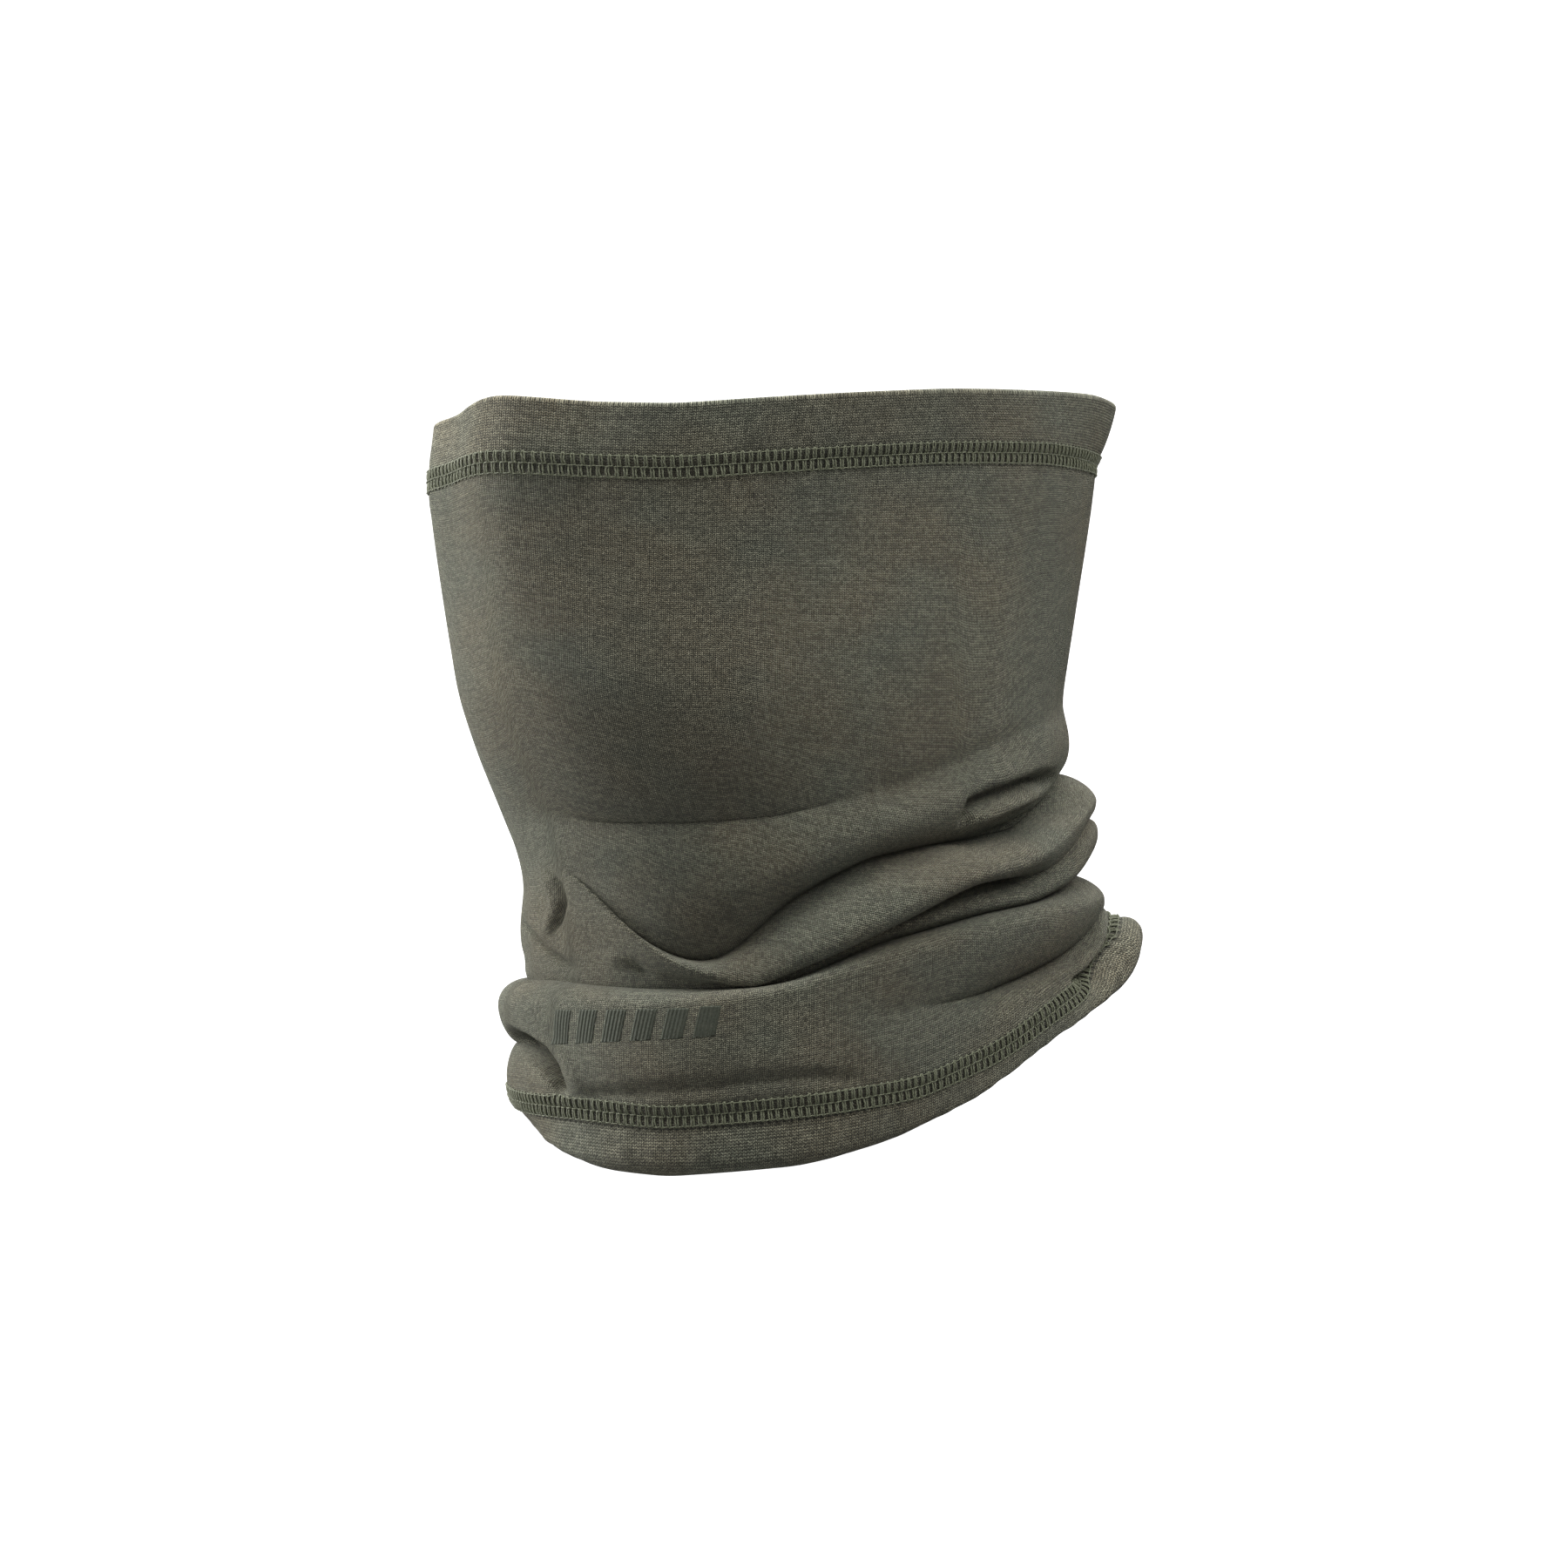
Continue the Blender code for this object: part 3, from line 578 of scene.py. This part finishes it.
class SeamBand:
    """The cloth beside a hem seam, for points given by angle and millimetres."""

    def __init__(self, level):
        angles = np.arange(0.0, 360.0 + BAND_STEP, BAND_STEP)
        points, outs = [], []
        for offset in np.arange(-BAND_REACH, BAND_REACH + BAND_STEP, BAND_STEP):
            row, _, out = cloth_frames(levels_at(level, offset, angles), angles)
            points.append(row)
            outs.append(out)
        self.points, self.outs = np.stack(points), np.stack(outs)

    def place(self, angles, along, off):
        """Points in metres, off the middle of the cloth by some millimetres."""
        column = (angles % 360.0) / BAND_STEP
        row = (along + BAND_REACH) / BAND_STEP
        left, top = column.astype(int), row.astype(int)
        a, b = (column - left)[:, None], (row - top)[:, None]

        def blend(table):
            return ((1 - b) * ((1 - a) * table[top, left] + a * table[top, left + 1])
                    + b * ((1 - a) * table[top + 1, left] + a * table[top + 1, left + 1]))

        return (blend(self.points) + off[:, None] * blend(self.outs)) * MM


def smooth_path(points, steps, turn=0.0):
    """A Catmull-Rom curve through points (rows), with some steps between each two.

    A turn is the travel after which the path meets its own start; 0 leaves its ends free.
    """
    if turn:
        once_round = np.array([turn, 0.0, 0.0])
        padded = np.concatenate([points[-1:] - once_round, points, points[:2] + once_round])
    else:
        padded = np.concatenate([2 * points[:1] - points[1:2], points,
                                 2 * points[-1:] - points[-2:-1]])
    t = np.arange(steps)[None, :, None] / steps
    before, start, end, after = (padded[i:len(padded) - 3 + i, None] for i in range(4))
    curve = 0.5 * (2 * start + (end - before) * t + (2 * before - 5 * start + 4 * end - after) * t**2
                   + (3 * start - before - 3 * end + after) * t**3)
    curve = curve.reshape(-1, points.shape[1])
    return curve if turn else np.concatenate([curve, points[-1:]])


def repeated(stitch, count, pitch, seed, jitter):
    """One stitch repeated along a seam, no two quite alike: rows of (travel, across, off)."""
    random = np.random.default_rng(seed)
    stitch = np.array(stitch)
    made = [stitch + [number * pitch, 0.0, 0.0] + random.normal(size=stitch.shape) * jitter
            for number in range(count)]
    return np.concatenate(made)


def hem_cover_stitch(half):
    """One pitch of the cover thread: a pair of strands in each of the two rows.

    Travel is along the seam, across is down the cloth, and off is from its outer face.  The
    strands lean, turn back at the outer needles and dive under the middle one.
    """
    lean = 0.3
    return ((0.0, -half + 0.15, 0.32), (0.5 * lean, -0.55 * half, 0.44), (lean, -0.28, 0.16),
            (0.75, 0.0, -0.42), (1.15, 0.28, 0.16), (1.2 + 0.5 * lean, 0.55 * half, 0.44),
            (1.2 + lean, half - 0.15, 0.34), (1.85, half + 0.22, 0.14), (2.2, half - 0.15, 0.30),
            (2.2 - 0.5 * lean, 0.55 * half, 0.40), (1.95, 0.28, 0.14), (1.97, 0.0, -0.25),
            (2.0, -0.28, 0.14), (2.0 - 0.5 * lean, -0.55 * half, 0.40), (1.7, -half + 0.15, 0.32),
            (2.05, -half - 0.22, 0.14))


def needle_stitch(pitch):
    """One pitch of a needle thread: out of its hole, over the cover thread, and down again."""
    return ((0.0, 0.0, -0.45), (0.3, 0.05, 0.30), (0.5 * pitch, 0.0, 0.62),
            (pitch - 0.3, -0.05, 0.30))


def looper_stitch(half, pitch):
    """One pitch of the looper chain on the wrong side of the seam."""
    return ((0.0, -half, 0.20), (0.55 * pitch, -0.5 * half, 0.42), (1.05 * pitch, 0.05 * half, 0.25),
            (0.75 * pitch, 0.5 * half, 0.42), (1.25 * pitch, half, 0.20),
            (1.15 * pitch, 0.45 * half, 0.30), (0.70 * pitch, 0.0, 0.45), (0.80 * pitch, -0.5 * half, 0.30))


def make_hem_stitches(name, level, material, seed):
    """Cover thread and three needle threads outside a hem seam, and the looper thread inside."""
    band = SeamBand(level)
    half = HEM_SEAM_WIDTH / 2.0
    face = CLOTH_THICKNESS / 2.0
    inside = -(HEM_LAYERS + face)
    to_angle = 360.0 / (HEM_STITCHES * STITCH_PITCH)

    def sew(piece, node, stitch, draw, side, base, radius, jitter, start=(0.0, 0.0, 0.0)):
        stitches = repeated(stitch, HEM_STITCHES, STITCH_PITCH, seed + draw, jitter) + start
        curve = smooth_path(stitches, 3, HEM_STITCHES * STITCH_PITCH)
        path = band.place(curve[:, 0] * to_angle, curve[:, 1], base + side * curve[:, 2])
        thread_piece(f"{name}_{piece}", f"{name}_{node}", path, radius, material, True)

    sew("cover_stitches", "cover_thread", hem_cover_stitch(half), 0, 1.0, face, COVER_RADIUS,
        COVER_JITTER)
    sew("looper_chain", "looper_thread", looper_stitch(half, STITCH_PITCH), 1, -1.0, inside,
        COVER_RADIUS, COVER_JITTER)
    for number, (line, shift) in enumerate(((-half, 2.05), (0.0, 0.75), (half, 1.85))):
        sew(f"needle_stitches_{number + 1}", f"needle_thread_{number + 1}", needle_stitch(STITCH_PITCH),
            2 + number, 1.0, face, NEEDLE_RADIUS, NEEDLE_JITTER, (shift, line, 0.0))


class BackSeam:
    """The cloth along the nape, for points given by millimetres down the seam and across it."""

    def __init__(self):
        self.levels = np.linspace(0.0, LAST_LEVEL, 1500)
        points = cloth_points(self.levels, np.full(len(self.levels), NAPE))
        self.arcs = lengths_along(points)
        self.radii = points[:, 1]

    def span(self, first, last):
        return np.interp([first, last], self.levels, self.arcs)

    def place(self, down_seam, across, off):
        levels = np.interp(down_seam, self.arcs, self.levels)
        radii = np.interp(down_seam, self.arcs, self.radii)
        points, _, out = cloth_frames(levels, NAPE + np.degrees(across / radii))
        return (points + off[:, None] * out) * MM


def flat_cover_stitch(half, pitch):
    """One pitch of the back seam's cover thread: across all four needles and back."""
    return ((0.0, -half, 0.24), (0.1, -0.35 * half, 0.40), (0.25, 0.35 * half, 0.40),
            (0.35, half, 0.24), (0.72, half + 0.3, 0.10), (1.05, half, 0.24),
            (1.15, 0.35 * half, 0.40), (1.3, -0.35 * half, 0.40), (1.4, -half, 0.24),
            (0.5 * (1.4 + pitch), -half - 0.3, 0.10))


def make_back_stitches(material, seed):
    """The flat seam that joins the panel's sides down the nape."""
    seam = BackSeam()
    start, end = seam.span(TOP_SEAM_LEVEL, BOTTOM_SEAM_LEVEL)
    start, end = start + HEM_SEAM_WIDTH / 2.0 + 0.8, end - HEM_SEAM_WIDTH / 2.0 - 0.8
    half = BACK_SEAM_WIDTH / 2.0
    face = CLOTH_THICKNESS / 2.0
    count = int((end - start) / BACK_PITCH)

    def sew(piece, node, stitch, draw, shift, side, radius, jitter):
        stitches = repeated(stitch, count, BACK_PITCH, seed + draw, jitter)
        curve = smooth_path(stitches + [start, shift, 0.0], 3)
        path = seam.place(curve[:, 0], curve[:, 1], side * (face + curve[:, 2]))
        thread_piece(f"back_seam_{piece}", f"back_seam_{node}", path, radius, material, False)

    sew("cover_stitches", "cover_thread", flat_cover_stitch(half, BACK_PITCH), 0, 0.0, 1.0,
        COVER_RADIUS, COVER_JITTER)
    sew("looper_chain", "looper_thread", looper_stitch(half, BACK_PITCH), 1, 0.0, -1.0,
        COVER_RADIUS, COVER_JITTER)
    for number in range(4):
        sew(f"needle_stitches_{number + 1}", f"needle_thread_{number + 1}", needle_stitch(BACK_PITCH),
            2 + number, (number - 1.5) * BACK_SEAM_WIDTH / 3.0, 1.0, NEEDLE_RADIUS, NEEDLE_JITTER)


# -------- label and mark

def thin_piece(name, points, across, along, material, thickness, offset):
    """A grid of points with a thickness, at these lengths across and along it when flat."""
    faces = grid_faces(len(along), len(across), False)
    flat = np.stack(np.meshgrid(across, along), axis=-1).reshape(-1, 2)
    piece = mesh_object(name, points, faces.tolist(), flat[faces].reshape(-1, 2), (material,))
    solid = piece.modifiers.new("thickness", "SOLIDIFY")
    solid.thickness = thickness
    solid.offset = offset
    return piece


def make_label(material):
    """A blank woven label, folded in half, which hangs inside the nape below the top hem."""
    low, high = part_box("care_label")
    middle_y = (low.y + high.y) / 2.0
    width, length = high.x - low.x, high.z - low.z
    rows, columns = 60, 26
    share = np.linspace(0.0, 1.0, rows)
    down = np.where(share < 0.5, share, 1.0 - share) * 2.0 * length
    side = np.tanh((share - 0.5) * 30.0) * LABEL_GAP / 2.0
    swing = LABEL_SWING * np.sin(down / length * 2.2)
    across = np.linspace(-0.5, 0.5, columns) * width
    x, z = np.meshgrid(across, high.z - down)
    hang = (low.y - high.y) * 0.3 * (down / length - 0.5)
    y = middle_y + (swing + hang)[:, None] + LABEL_CURL * np.cos(x / width * 7.0)
    levels = np.linspace(0.0, 4.0, 160)
    for i, place in enumerate(across):
        angle = NAPE - math.degrees(place / middle_y)
        cloth = cloth_points(levels, np.full(len(levels), angle)) * MM
        inner_face = np.interp(-z[:, i], -cloth[:, 2], cloth[:, 1]) - LABEL_CLEARANCE
        y[:, i] = np.minimum(y[:, i], inner_face)
    y += side[:, None]
    points = np.stack([x, y, z], axis=-1).reshape(-1, 3)
    piece = thin_piece("folded_label", points, across, share * 2.0 * length, material,
                       LABEL_THICKNESS, 0.0)
    attach(piece, "label_ribbon", "care_label")


def make_bar(number, material):
    """One slanted bar of the plain transfer on the collar, moulded to the cloth."""
    rows, columns = 22, 10
    start = BAR_START_ANGLE + number * BAR_PITCH_ANGLE
    half = math.degrees(BAR_WIDTH / 2.0 / SCALE_RADIUS)
    share = np.linspace(0.0, 1.0, rows)
    angles = (start - BAR_LEAN_ANGLE * (share - 0.5))[:, None] + np.linspace(-half, half, columns)
    samples = np.linspace(COLLAR_LEVEL, COLLAR_LEVEL + 0.95, 40)
    heights = [cloth_points(samples, np.full(len(samples), angle))[:, 2]
               for angle in angles.mean(axis=0)]
    top = cloth_points(np.array([float(COLLAR_LEVEL)]), np.array([start]))[0, 2]
    rises = top - BAR_HEIGHT * share
    levels = np.array([np.interp(-rises, -height, samples) for height in heights]).T
    points, _, out = cloth_frames(levels.ravel(), angles.ravel())
    from_side = np.minimum(np.arange(columns), np.arange(columns)[::-1]) * BAR_WIDTH / (columns - 1)
    edge = np.minimum.outer(np.minimum(share, 1 - share) * BAR_HEIGHT, from_side)
    lift = FILM_LIFT + FILM_LIFT * np.clip(edge.ravel() / FILM_EDGE, 0.0, 1.0)
    off = CLOTH_THICKNESS / 2.0 + lift
    piece = thin_piece(f"transfer_stripe_{number + 1}", (points + off[:, None] * out) * MM,
                       np.linspace(0.0, BAR_WIDTH, columns) * MM, share * BAR_HEIGHT * MM, material,
                       FILM_THICKNESS * MM, -1.0)
    attach(piece, "transfer_film", f"transfer_bar_{number + 1}")


# -------- materials

class Nodes:
    """Short ways to add and join the nodes of one material."""

    def __init__(self, name):
        self.material = bpy.data.materials.new(name)
        self.material.use_nodes = True
        self.tree = self.material.node_tree
        self.shader = self.tree.nodes["Principled BSDF"]

    def set(self, **values):
        """Sets or feeds the shader's own sockets, with _ for a space in a socket's name."""
        self.feed_all(self.shader, values)

    def feed(self, socket, value):
        if isinstance(value, bpy.types.NodeSocket):
            self.tree.links.new(value, socket)
        else:
            socket.default_value = value

    def feed_all(self, node, values):
        for name, value in values.items():
            self.feed(node.inputs[name.replace("_", " ")], value)

    def add(self, kind, output, **values):
        """One output of a new node, once its sockets are set or fed."""
        node = self.tree.nodes.new("ShaderNode" + kind)
        self.feed_all(node, values)
        return node.outputs[output]

    def math(self, operation, *values):
        node = self.tree.nodes.new("ShaderNodeMath")
        node.operation = operation
        for socket, value in zip(node.inputs, values):
            self.feed(socket, value)
        return node.outputs[0]

    def apart(self, value, other):
        """How far a value is from another, either way."""
        return self.math("ABSOLUTE", self.math("SUBTRACT", value, other))

    def wave(self, value, length):
        """A sine that repeats each time the value has grown by this length."""
        return self.math("SINE", self.math("MULTIPLY", value, 2.0 * math.pi / length))

    def largest(self, values):
        total = values[0]
        for value in values[1:]:
            total = self.math("MAXIMUM", total, value)
        return total

    def uv(self):
        """The piece's own flat coordinates, in metres, as (along the width, along the length)."""
        node = self.tree.nodes.new("ShaderNodeUVMap")
        node.uv_map = UV_NAME
        parts = self.tree.nodes.new("ShaderNodeSeparateXYZ")
        self.tree.links.new(node.outputs["UV"], parts.inputs[0])
        return node.outputs["UV"], parts.outputs[0], parts.outputs[1]

    def place(self):
        """Where a point is on the gaiter, in metres."""
        return self.tree.nodes.new("ShaderNodeTexCoord").outputs["Object"]

    def stretched(self, vector, scale):
        return self.add("Mapping", 0, Vector=vector, Scale=scale)

    def noise(self, vector, scale, detail, roughness):
        return self.add("TexNoise", "Fac", Vector=vector, Scale=scale, Detail=detail,
                        Roughness=roughness)

    def stitch_noise(self, u, v):
        """A number of its own for each stitch, since the yarn's colour varies along it."""
        cell = self.tree.nodes.new("ShaderNodeCombineXYZ")
        for socket, along, pitch in zip(cell.inputs, (u, v), (WALE, COURSE)):
            self.feed(socket, self.math("FLOOR", self.math("DIVIDE", along, pitch * MM)))
        node = self.tree.nodes.new("ShaderNodeTexWhiteNoise")
        node.noise_dimensions = "2D"
        self.tree.links.new(cell.outputs[0], node.inputs["Vector"])
        return node.outputs["Value"]

    def ramp(self, value, low, high, to_low, to_high):
        return self.add("MapRange", 0, Value=value, From_Min=low, From_Max=high, To_Min=to_low,
                        To_Max=to_high)

    def mix(self, share, first, second):
        node = self.tree.nodes.new("ShaderNodeMix")
        node.data_type = "RGBA"
        self.feed(node.inputs[0], share)
        self.feed(node.inputs[6], first)
        self.feed(node.inputs[7], second)
        return node.outputs[2]

    def tinted(self, colour, layers):
        """A colour with others laid over it, each as thick as the ramp of some value says."""
        for value, low, high, to_low, to_high, other in layers:
            colour = self.mix(self.ramp(value, low, high, to_low, to_high), colour, other)
        return colour

    def bump(self, height, distance, strength):
        self.set(Normal=self.add("Bump", 0, Height=height, Distance=distance, Strength=strength))


def knit_height(nodes, u, v, face):
    """The relief of plain jersey: columns of V stitches outside, rows of bumps inside."""
    wale = nodes.math("FRACT", nodes.math("DIVIDE", u, WALE * MM))
    leg = nodes.math("MULTIPLY", nodes.apart(wale, 0.5), 2.0)
    courses = nodes.math("DIVIDE", v, COURSE * MM)
    rise = 0.55 if face else 0.25
    slanted = nodes.math("ADD", courses, nodes.math("MULTIPLY", leg, rise))
    strand = nodes.math("POWER", nodes.wave(nodes.math("FRACT", slanted), 2.0), 0.7)
    across = nodes.wave(leg, 2.0)
    if face:
        ridge = nodes.math("POWER", nodes.math("ADD", across, 0.05), 0.6)
        return nodes.math("MULTIPLY", strand, ridge)
    return nodes.math("MULTIPLY", strand, nodes.math("ADD", nodes.math("MULTIPLY", across, 0.3), 0.7))


def shade_under_hem_seams(nodes, v):
    """1 on the cloth that the hem seams press down, where shade is painted under them, 0 elsewhere."""
    half = HEM_SEAM_WIDTH / 2.0
    return nodes.largest([
        nodes.ramp(nodes.apart(v, seam * MM), (half - 0.4) * MM, (half + 0.5) * MM, 1.0, 0.0)
        for seam in HEM_SEAM_LINES])


def needle_hole_shade(nodes, u, v):
    """1 at the small holes that the hems' needles leave, where shade is painted into them, 0 elsewhere."""
    pitch = FLAT_WIDTH / HEM_STITCHES * MM
    along = nodes.math("FRACT", nodes.math("DIVIDE", u, pitch))
    holes = []
    for seam in HEM_SEAM_LINES:
        for line, phase in ((-1.0, 0.0), (0.0, 0.5), (1.0, 0.9)):
            middle = (seam + line * HEM_SEAM_WIDTH / 2.0) * MM
            on_line = nodes.ramp(nodes.apart(v, middle), 0.0003, 0.0007, 1.0, 0.0)
            from_hole = nodes.apart(nodes.math("FRACT", nodes.math("ADD", along, phase)), 0.5)
            holes.append(nodes.math("MULTIPLY", on_line, nodes.ramp(from_hole, 0.10, 0.24, 1.0, 0.0)))
    return nodes.largest(holes)


def jersey(name, face):
    """Fine merino jersey in heather olive: knitted relief, melange yarn and a soft fuzz, with shade painted
    into the knit's low places, onto the cloth under the hem seams and into the needle holes.
    """
    nodes = Nodes(name)
    flat, u, v = nodes.uv()
    height = knit_height(nodes, u, v, face)
    fibre = nodes.noise(nodes.stretched(flat, (1.0, 1.5, 1.0)), 1600.0, 3.0, 0.75)
    stitch = nodes.stitch_noise(u, v)
    streak = nodes.noise(nodes.stretched(flat, (1.0, 24.0, 1.0)), 50.0, 3.0, 0.65)
    patch = nodes.noise(nodes.place(), 22.0, 3.0, 0.6)
    tint = nodes.noise(nodes.stretched(nodes.place(), (1.0, 1.0, 1.4)), 26.0, 2.0, 0.5)
    colour = nodes.tinted(GREENISH, (
        (tint, 0.38, 0.62, 0.0, 1.0, BROWNISH),
        (fibre, 0.50, 0.64, 0.0, 0.60, PALE_FIBRE), (fibre, 0.50, 0.38, 0.0, 0.72, DARK_FIBRE),
        (stitch, 0.50, 1.0, 0.0, 0.28, PALE_FIBRE), (stitch, 0.50, 0.0, 0.0, 0.44, DARK_FIBRE),
        (streak, 0.45, 0.62, 0.0, 0.36, DARK_FIBRE), (patch, 0.35, 0.7, 0.0, 0.22, DARK_FIBRE),
        # painted shade in the knit's low places between the stitches
        (height, 0.2, 0.85, 0.96, 0.0, PAINTED_SHADE)))
    # painted shade on the cloth under the hem seams
    colour = nodes.mix(nodes.math("MULTIPLY", shade_under_hem_seams(nodes, v), 0.45), colour, PAINTED_SHADE)
    # painted shade in the needle holes
    colour = nodes.mix(nodes.math("MULTIPLY", needle_hole_shade(nodes, u, v), 0.9), colour, PAINTED_SHADE)
    fuzz = nodes.math("ADD", height, nodes.math("MULTIPLY", fibre, 0.9))
    rumple = nodes.noise(nodes.place(), 42.0, 2.0, 0.5)
    fuzz = nodes.math("ADD", fuzz, nodes.math("MULTIPLY", rumple, 1.2))
    nodes.bump(fuzz, 0.0005, 1.0)
    nodes.set(Base_Color=colour, Roughness=nodes.ramp(fibre, 0.2, 0.8, 0.82, 1.0),
              Specular_IOR_Level=0.15, Sheen_Weight=0.25, Sheen_Roughness=0.45,
              Sheen_Tint=(0.72, 0.72, 0.62, 1.0))
    return nodes.material


def twisted_thread(name):
    """Polyester sewing thread: plies twisted round each other, a little fuzz, a low sheen, and shade
    painted into the grooves between the plies.
    """
    nodes = Nodes(name)
    _, u, v = nodes.uv()
    ply = nodes.wave(nodes.math("ADD", nodes.math("DIVIDE", u, 0.0011),
                                nodes.math("MULTIPLY", v, 3.0)), 1.0)
    fibre = nodes.noise(nodes.place(), 5200.0, 2.0, 0.7)
    lot = nodes.noise(nodes.place(), 160.0, 2.0, 0.5)
    colour = nodes.tinted(THREAD_DARK, (
        # the ply row paints shade into the grooves between the plies
        (fibre, 0.3, 0.7, 0.0, 1.0, THREAD_PALE), (ply, -1.0, 0.2, 0.45, 0.0, THREAD_GROOVE_SHADE),
        (lot, 0.35, 0.7, 0.0, 0.3, THREAD_DARK)))
    nodes.bump(nodes.math("ADD", ply, fibre), 0.00006, 0.6)
    nodes.set(Base_Color=colour, Roughness=nodes.ramp(fibre, 0.2, 0.8, 0.6, 0.85),
              Specular_IOR_Level=0.3, Sheen_Weight=0.2, Sheen_Roughness=0.4)
    return nodes.material


def woven_ribbon(name):
    """Satin ribbon of the label: fine cross threads and a few uneven ones."""
    nodes = Nodes(name)
    flat, u, v = nodes.uv()
    weft = nodes.wave(v, 0.00028)
    warp = nodes.wave(u, 0.00022)
    weave = nodes.math("ADD", nodes.math("MULTIPLY", weft, 0.6), nodes.math("MULTIPLY", warp, 0.4))
    slub = nodes.noise(nodes.stretched(flat, (1.0, 14.0, 1.0)), 220.0, 2.0, 0.6)
    colour = nodes.tinted(RIBBON_DARK, (
        (weave, -1.0, 1.0, 0.0, 1.0, RIBBON_PALE), (slub, 0.4, 0.7, 0.0, 0.4, RIBBON_DARK)))
    nodes.bump(nodes.math("ADD", weave, slub), 0.00005, 0.6)
    nodes.set(Base_Color=colour, Roughness=nodes.ramp(slub, 0.3, 0.7, 0.42, 0.6),
              Specular_IOR_Level=0.4, Sheen_Weight=0.15)
    return nodes.material


def heat_transfer(name):
    """Matt transfer film that takes the knit's relief and has begun to craze."""
    nodes = Nodes(name)
    flat, u, _ = nodes.uv()
    grain = nodes.noise(nodes.stretched(flat, (1.0, 1.3, 1.0)), 1500.0, 3.0, 0.6)
    wear = nodes.noise(nodes.place(), 420.0, 3.0, 0.7)
    ribs = nodes.wave(u, WALE * MM)
    colour = nodes.tinted(FILM_DARK, (
        (grain, 0.35, 0.7, 0.0, 1.0, FILM_PALE), (wear, 0.55, 0.75, 0.0, 0.5, FILM_WORN)))
    nodes.bump(nodes.math("ADD", nodes.math("MULTIPLY", ribs, 0.7), grain), 0.00014, 0.9)
    nodes.set(Base_Color=colour, Roughness=nodes.ramp(wear, 0.35, 0.7, 0.75, 0.9),
              Specular_IOR_Level=0.2)
    return nodes.material


# -------- studio

def aimed(made, azimuth, elevation, distance):
    """Puts a light or the camera on a sphere round the origin, looking at it."""
    turn, lift = math.radians(azimuth), math.radians(elevation)
    made.location = (distance * math.sin(turn) * math.cos(lift),
                     -distance * math.cos(turn) * math.cos(lift), distance * math.sin(lift))
    made.rotation_euler = (-Vector(made.location)).to_track_quat("-Z", "Y").to_euler()
    bpy.context.scene.collection.objects.link(made)
    return made


def make_camera():
    data = bpy.data.cameras.new("camera")
    data.lens = CAMERA_LENS
    data.sensor_width = 36.0
    data.clip_end = 20.0
    camera = bpy.data.objects.new("camera", data)
    bpy.context.scene.camera = aimed(camera, VIEW_AZIMUTH, 0.0, CAMERA_DISTANCE)


def make_lights():
    for name, azimuth, elevation, width, height, energy in LIGHTS:
        data = bpy.data.lights.new(name, "AREA")
        data.shape = "RECTANGLE"
        data.size = width
        data.size_y = height
        data.energy = energy
        aimed(bpy.data.objects.new(name, data), VIEW_AZIMUTH + azimuth, elevation, LIGHT_DISTANCE)
    world = bpy.data.worlds.new("studio")
    world.use_nodes = True
    background = world.node_tree.nodes["Background"]
    background.inputs["Color"].default_value = (1.0, 1.0, 1.0, 1.0)
    background.inputs["Strength"].default_value = WORLD_LIGHT
    bpy.context.scene.world = world


def glowing_white(name, strength):
    nodes = Nodes(name)
    nodes.set(Base_Color=(0.8, 0.8, 0.8, 1.0), Emission_Color=(1.0, 1.0, 1.0, 1.0),
              Emission_Strength=strength, Roughness=1.0, Specular_IOR_Level=0.0)
    return nodes.material


def make_stage():
    """A pale floor under a white dome, which the camera sees and which cast no light."""
    rings, columns = 24, 64
    turns = np.arange(columns) * 2.0 * math.pi / columns
    lifts = np.linspace(-0.12, math.pi / 2.0 - 0.01, rings)
    dome = [(STAGE_RADIUS * math.cos(lift) * math.cos(turn),
             STAGE_RADIUS * math.cos(lift) * math.sin(turn), STAGE_RADIUS * math.sin(lift))
            for lift in lifts for turn in turns]
    backdrop = mesh_object("backdrop", dome, grid_faces(rings, columns, True).tolist(),
                           materials=(glowing_white("backdrop_white", BACKDROP_GLOW),))
    corners = [(x * STAGE_RADIUS * 1.2, y * STAGE_RADIUS * 1.2, FLOOR_HEIGHT)
               for x, y in ((-1, -1), (1, -1), (1, 1), (-1, 1))]
    floor = mesh_object("floor", corners, [(0, 1, 2, 3)],
                        materials=(glowing_white("floor_white", FLOOR_GLOW),))
    for surface in (backdrop, floor):
        surface.visible_diffuse = False
        surface.visible_glossy = False
        surface.visible_shadow = False


def main():
    bpy.context.scene.view_settings.view_transform = "Standard"
    make_camera()
    make_lights()
    make_stage()
    cloth = make_cloth(jersey("merino_face", True), jersey("merino_back", False))
    attach(cloth, "merino_jersey", "knit_panel")
    thread = twisted_thread("sewing_thread")
    make_hem_stitches("top_hem", TOP_SEAM_LEVEL, thread, 11)
    make_hem_stitches("bottom_hem", BOTTOM_SEAM_LEVEL, thread, 23)
    make_back_stitches(thread, 37)
    make_label(woven_ribbon("woven_ribbon"))
    film = heat_transfer("transfer_film")
    for number in range(BAR_COUNT):
        make_bar(number, film)


main()
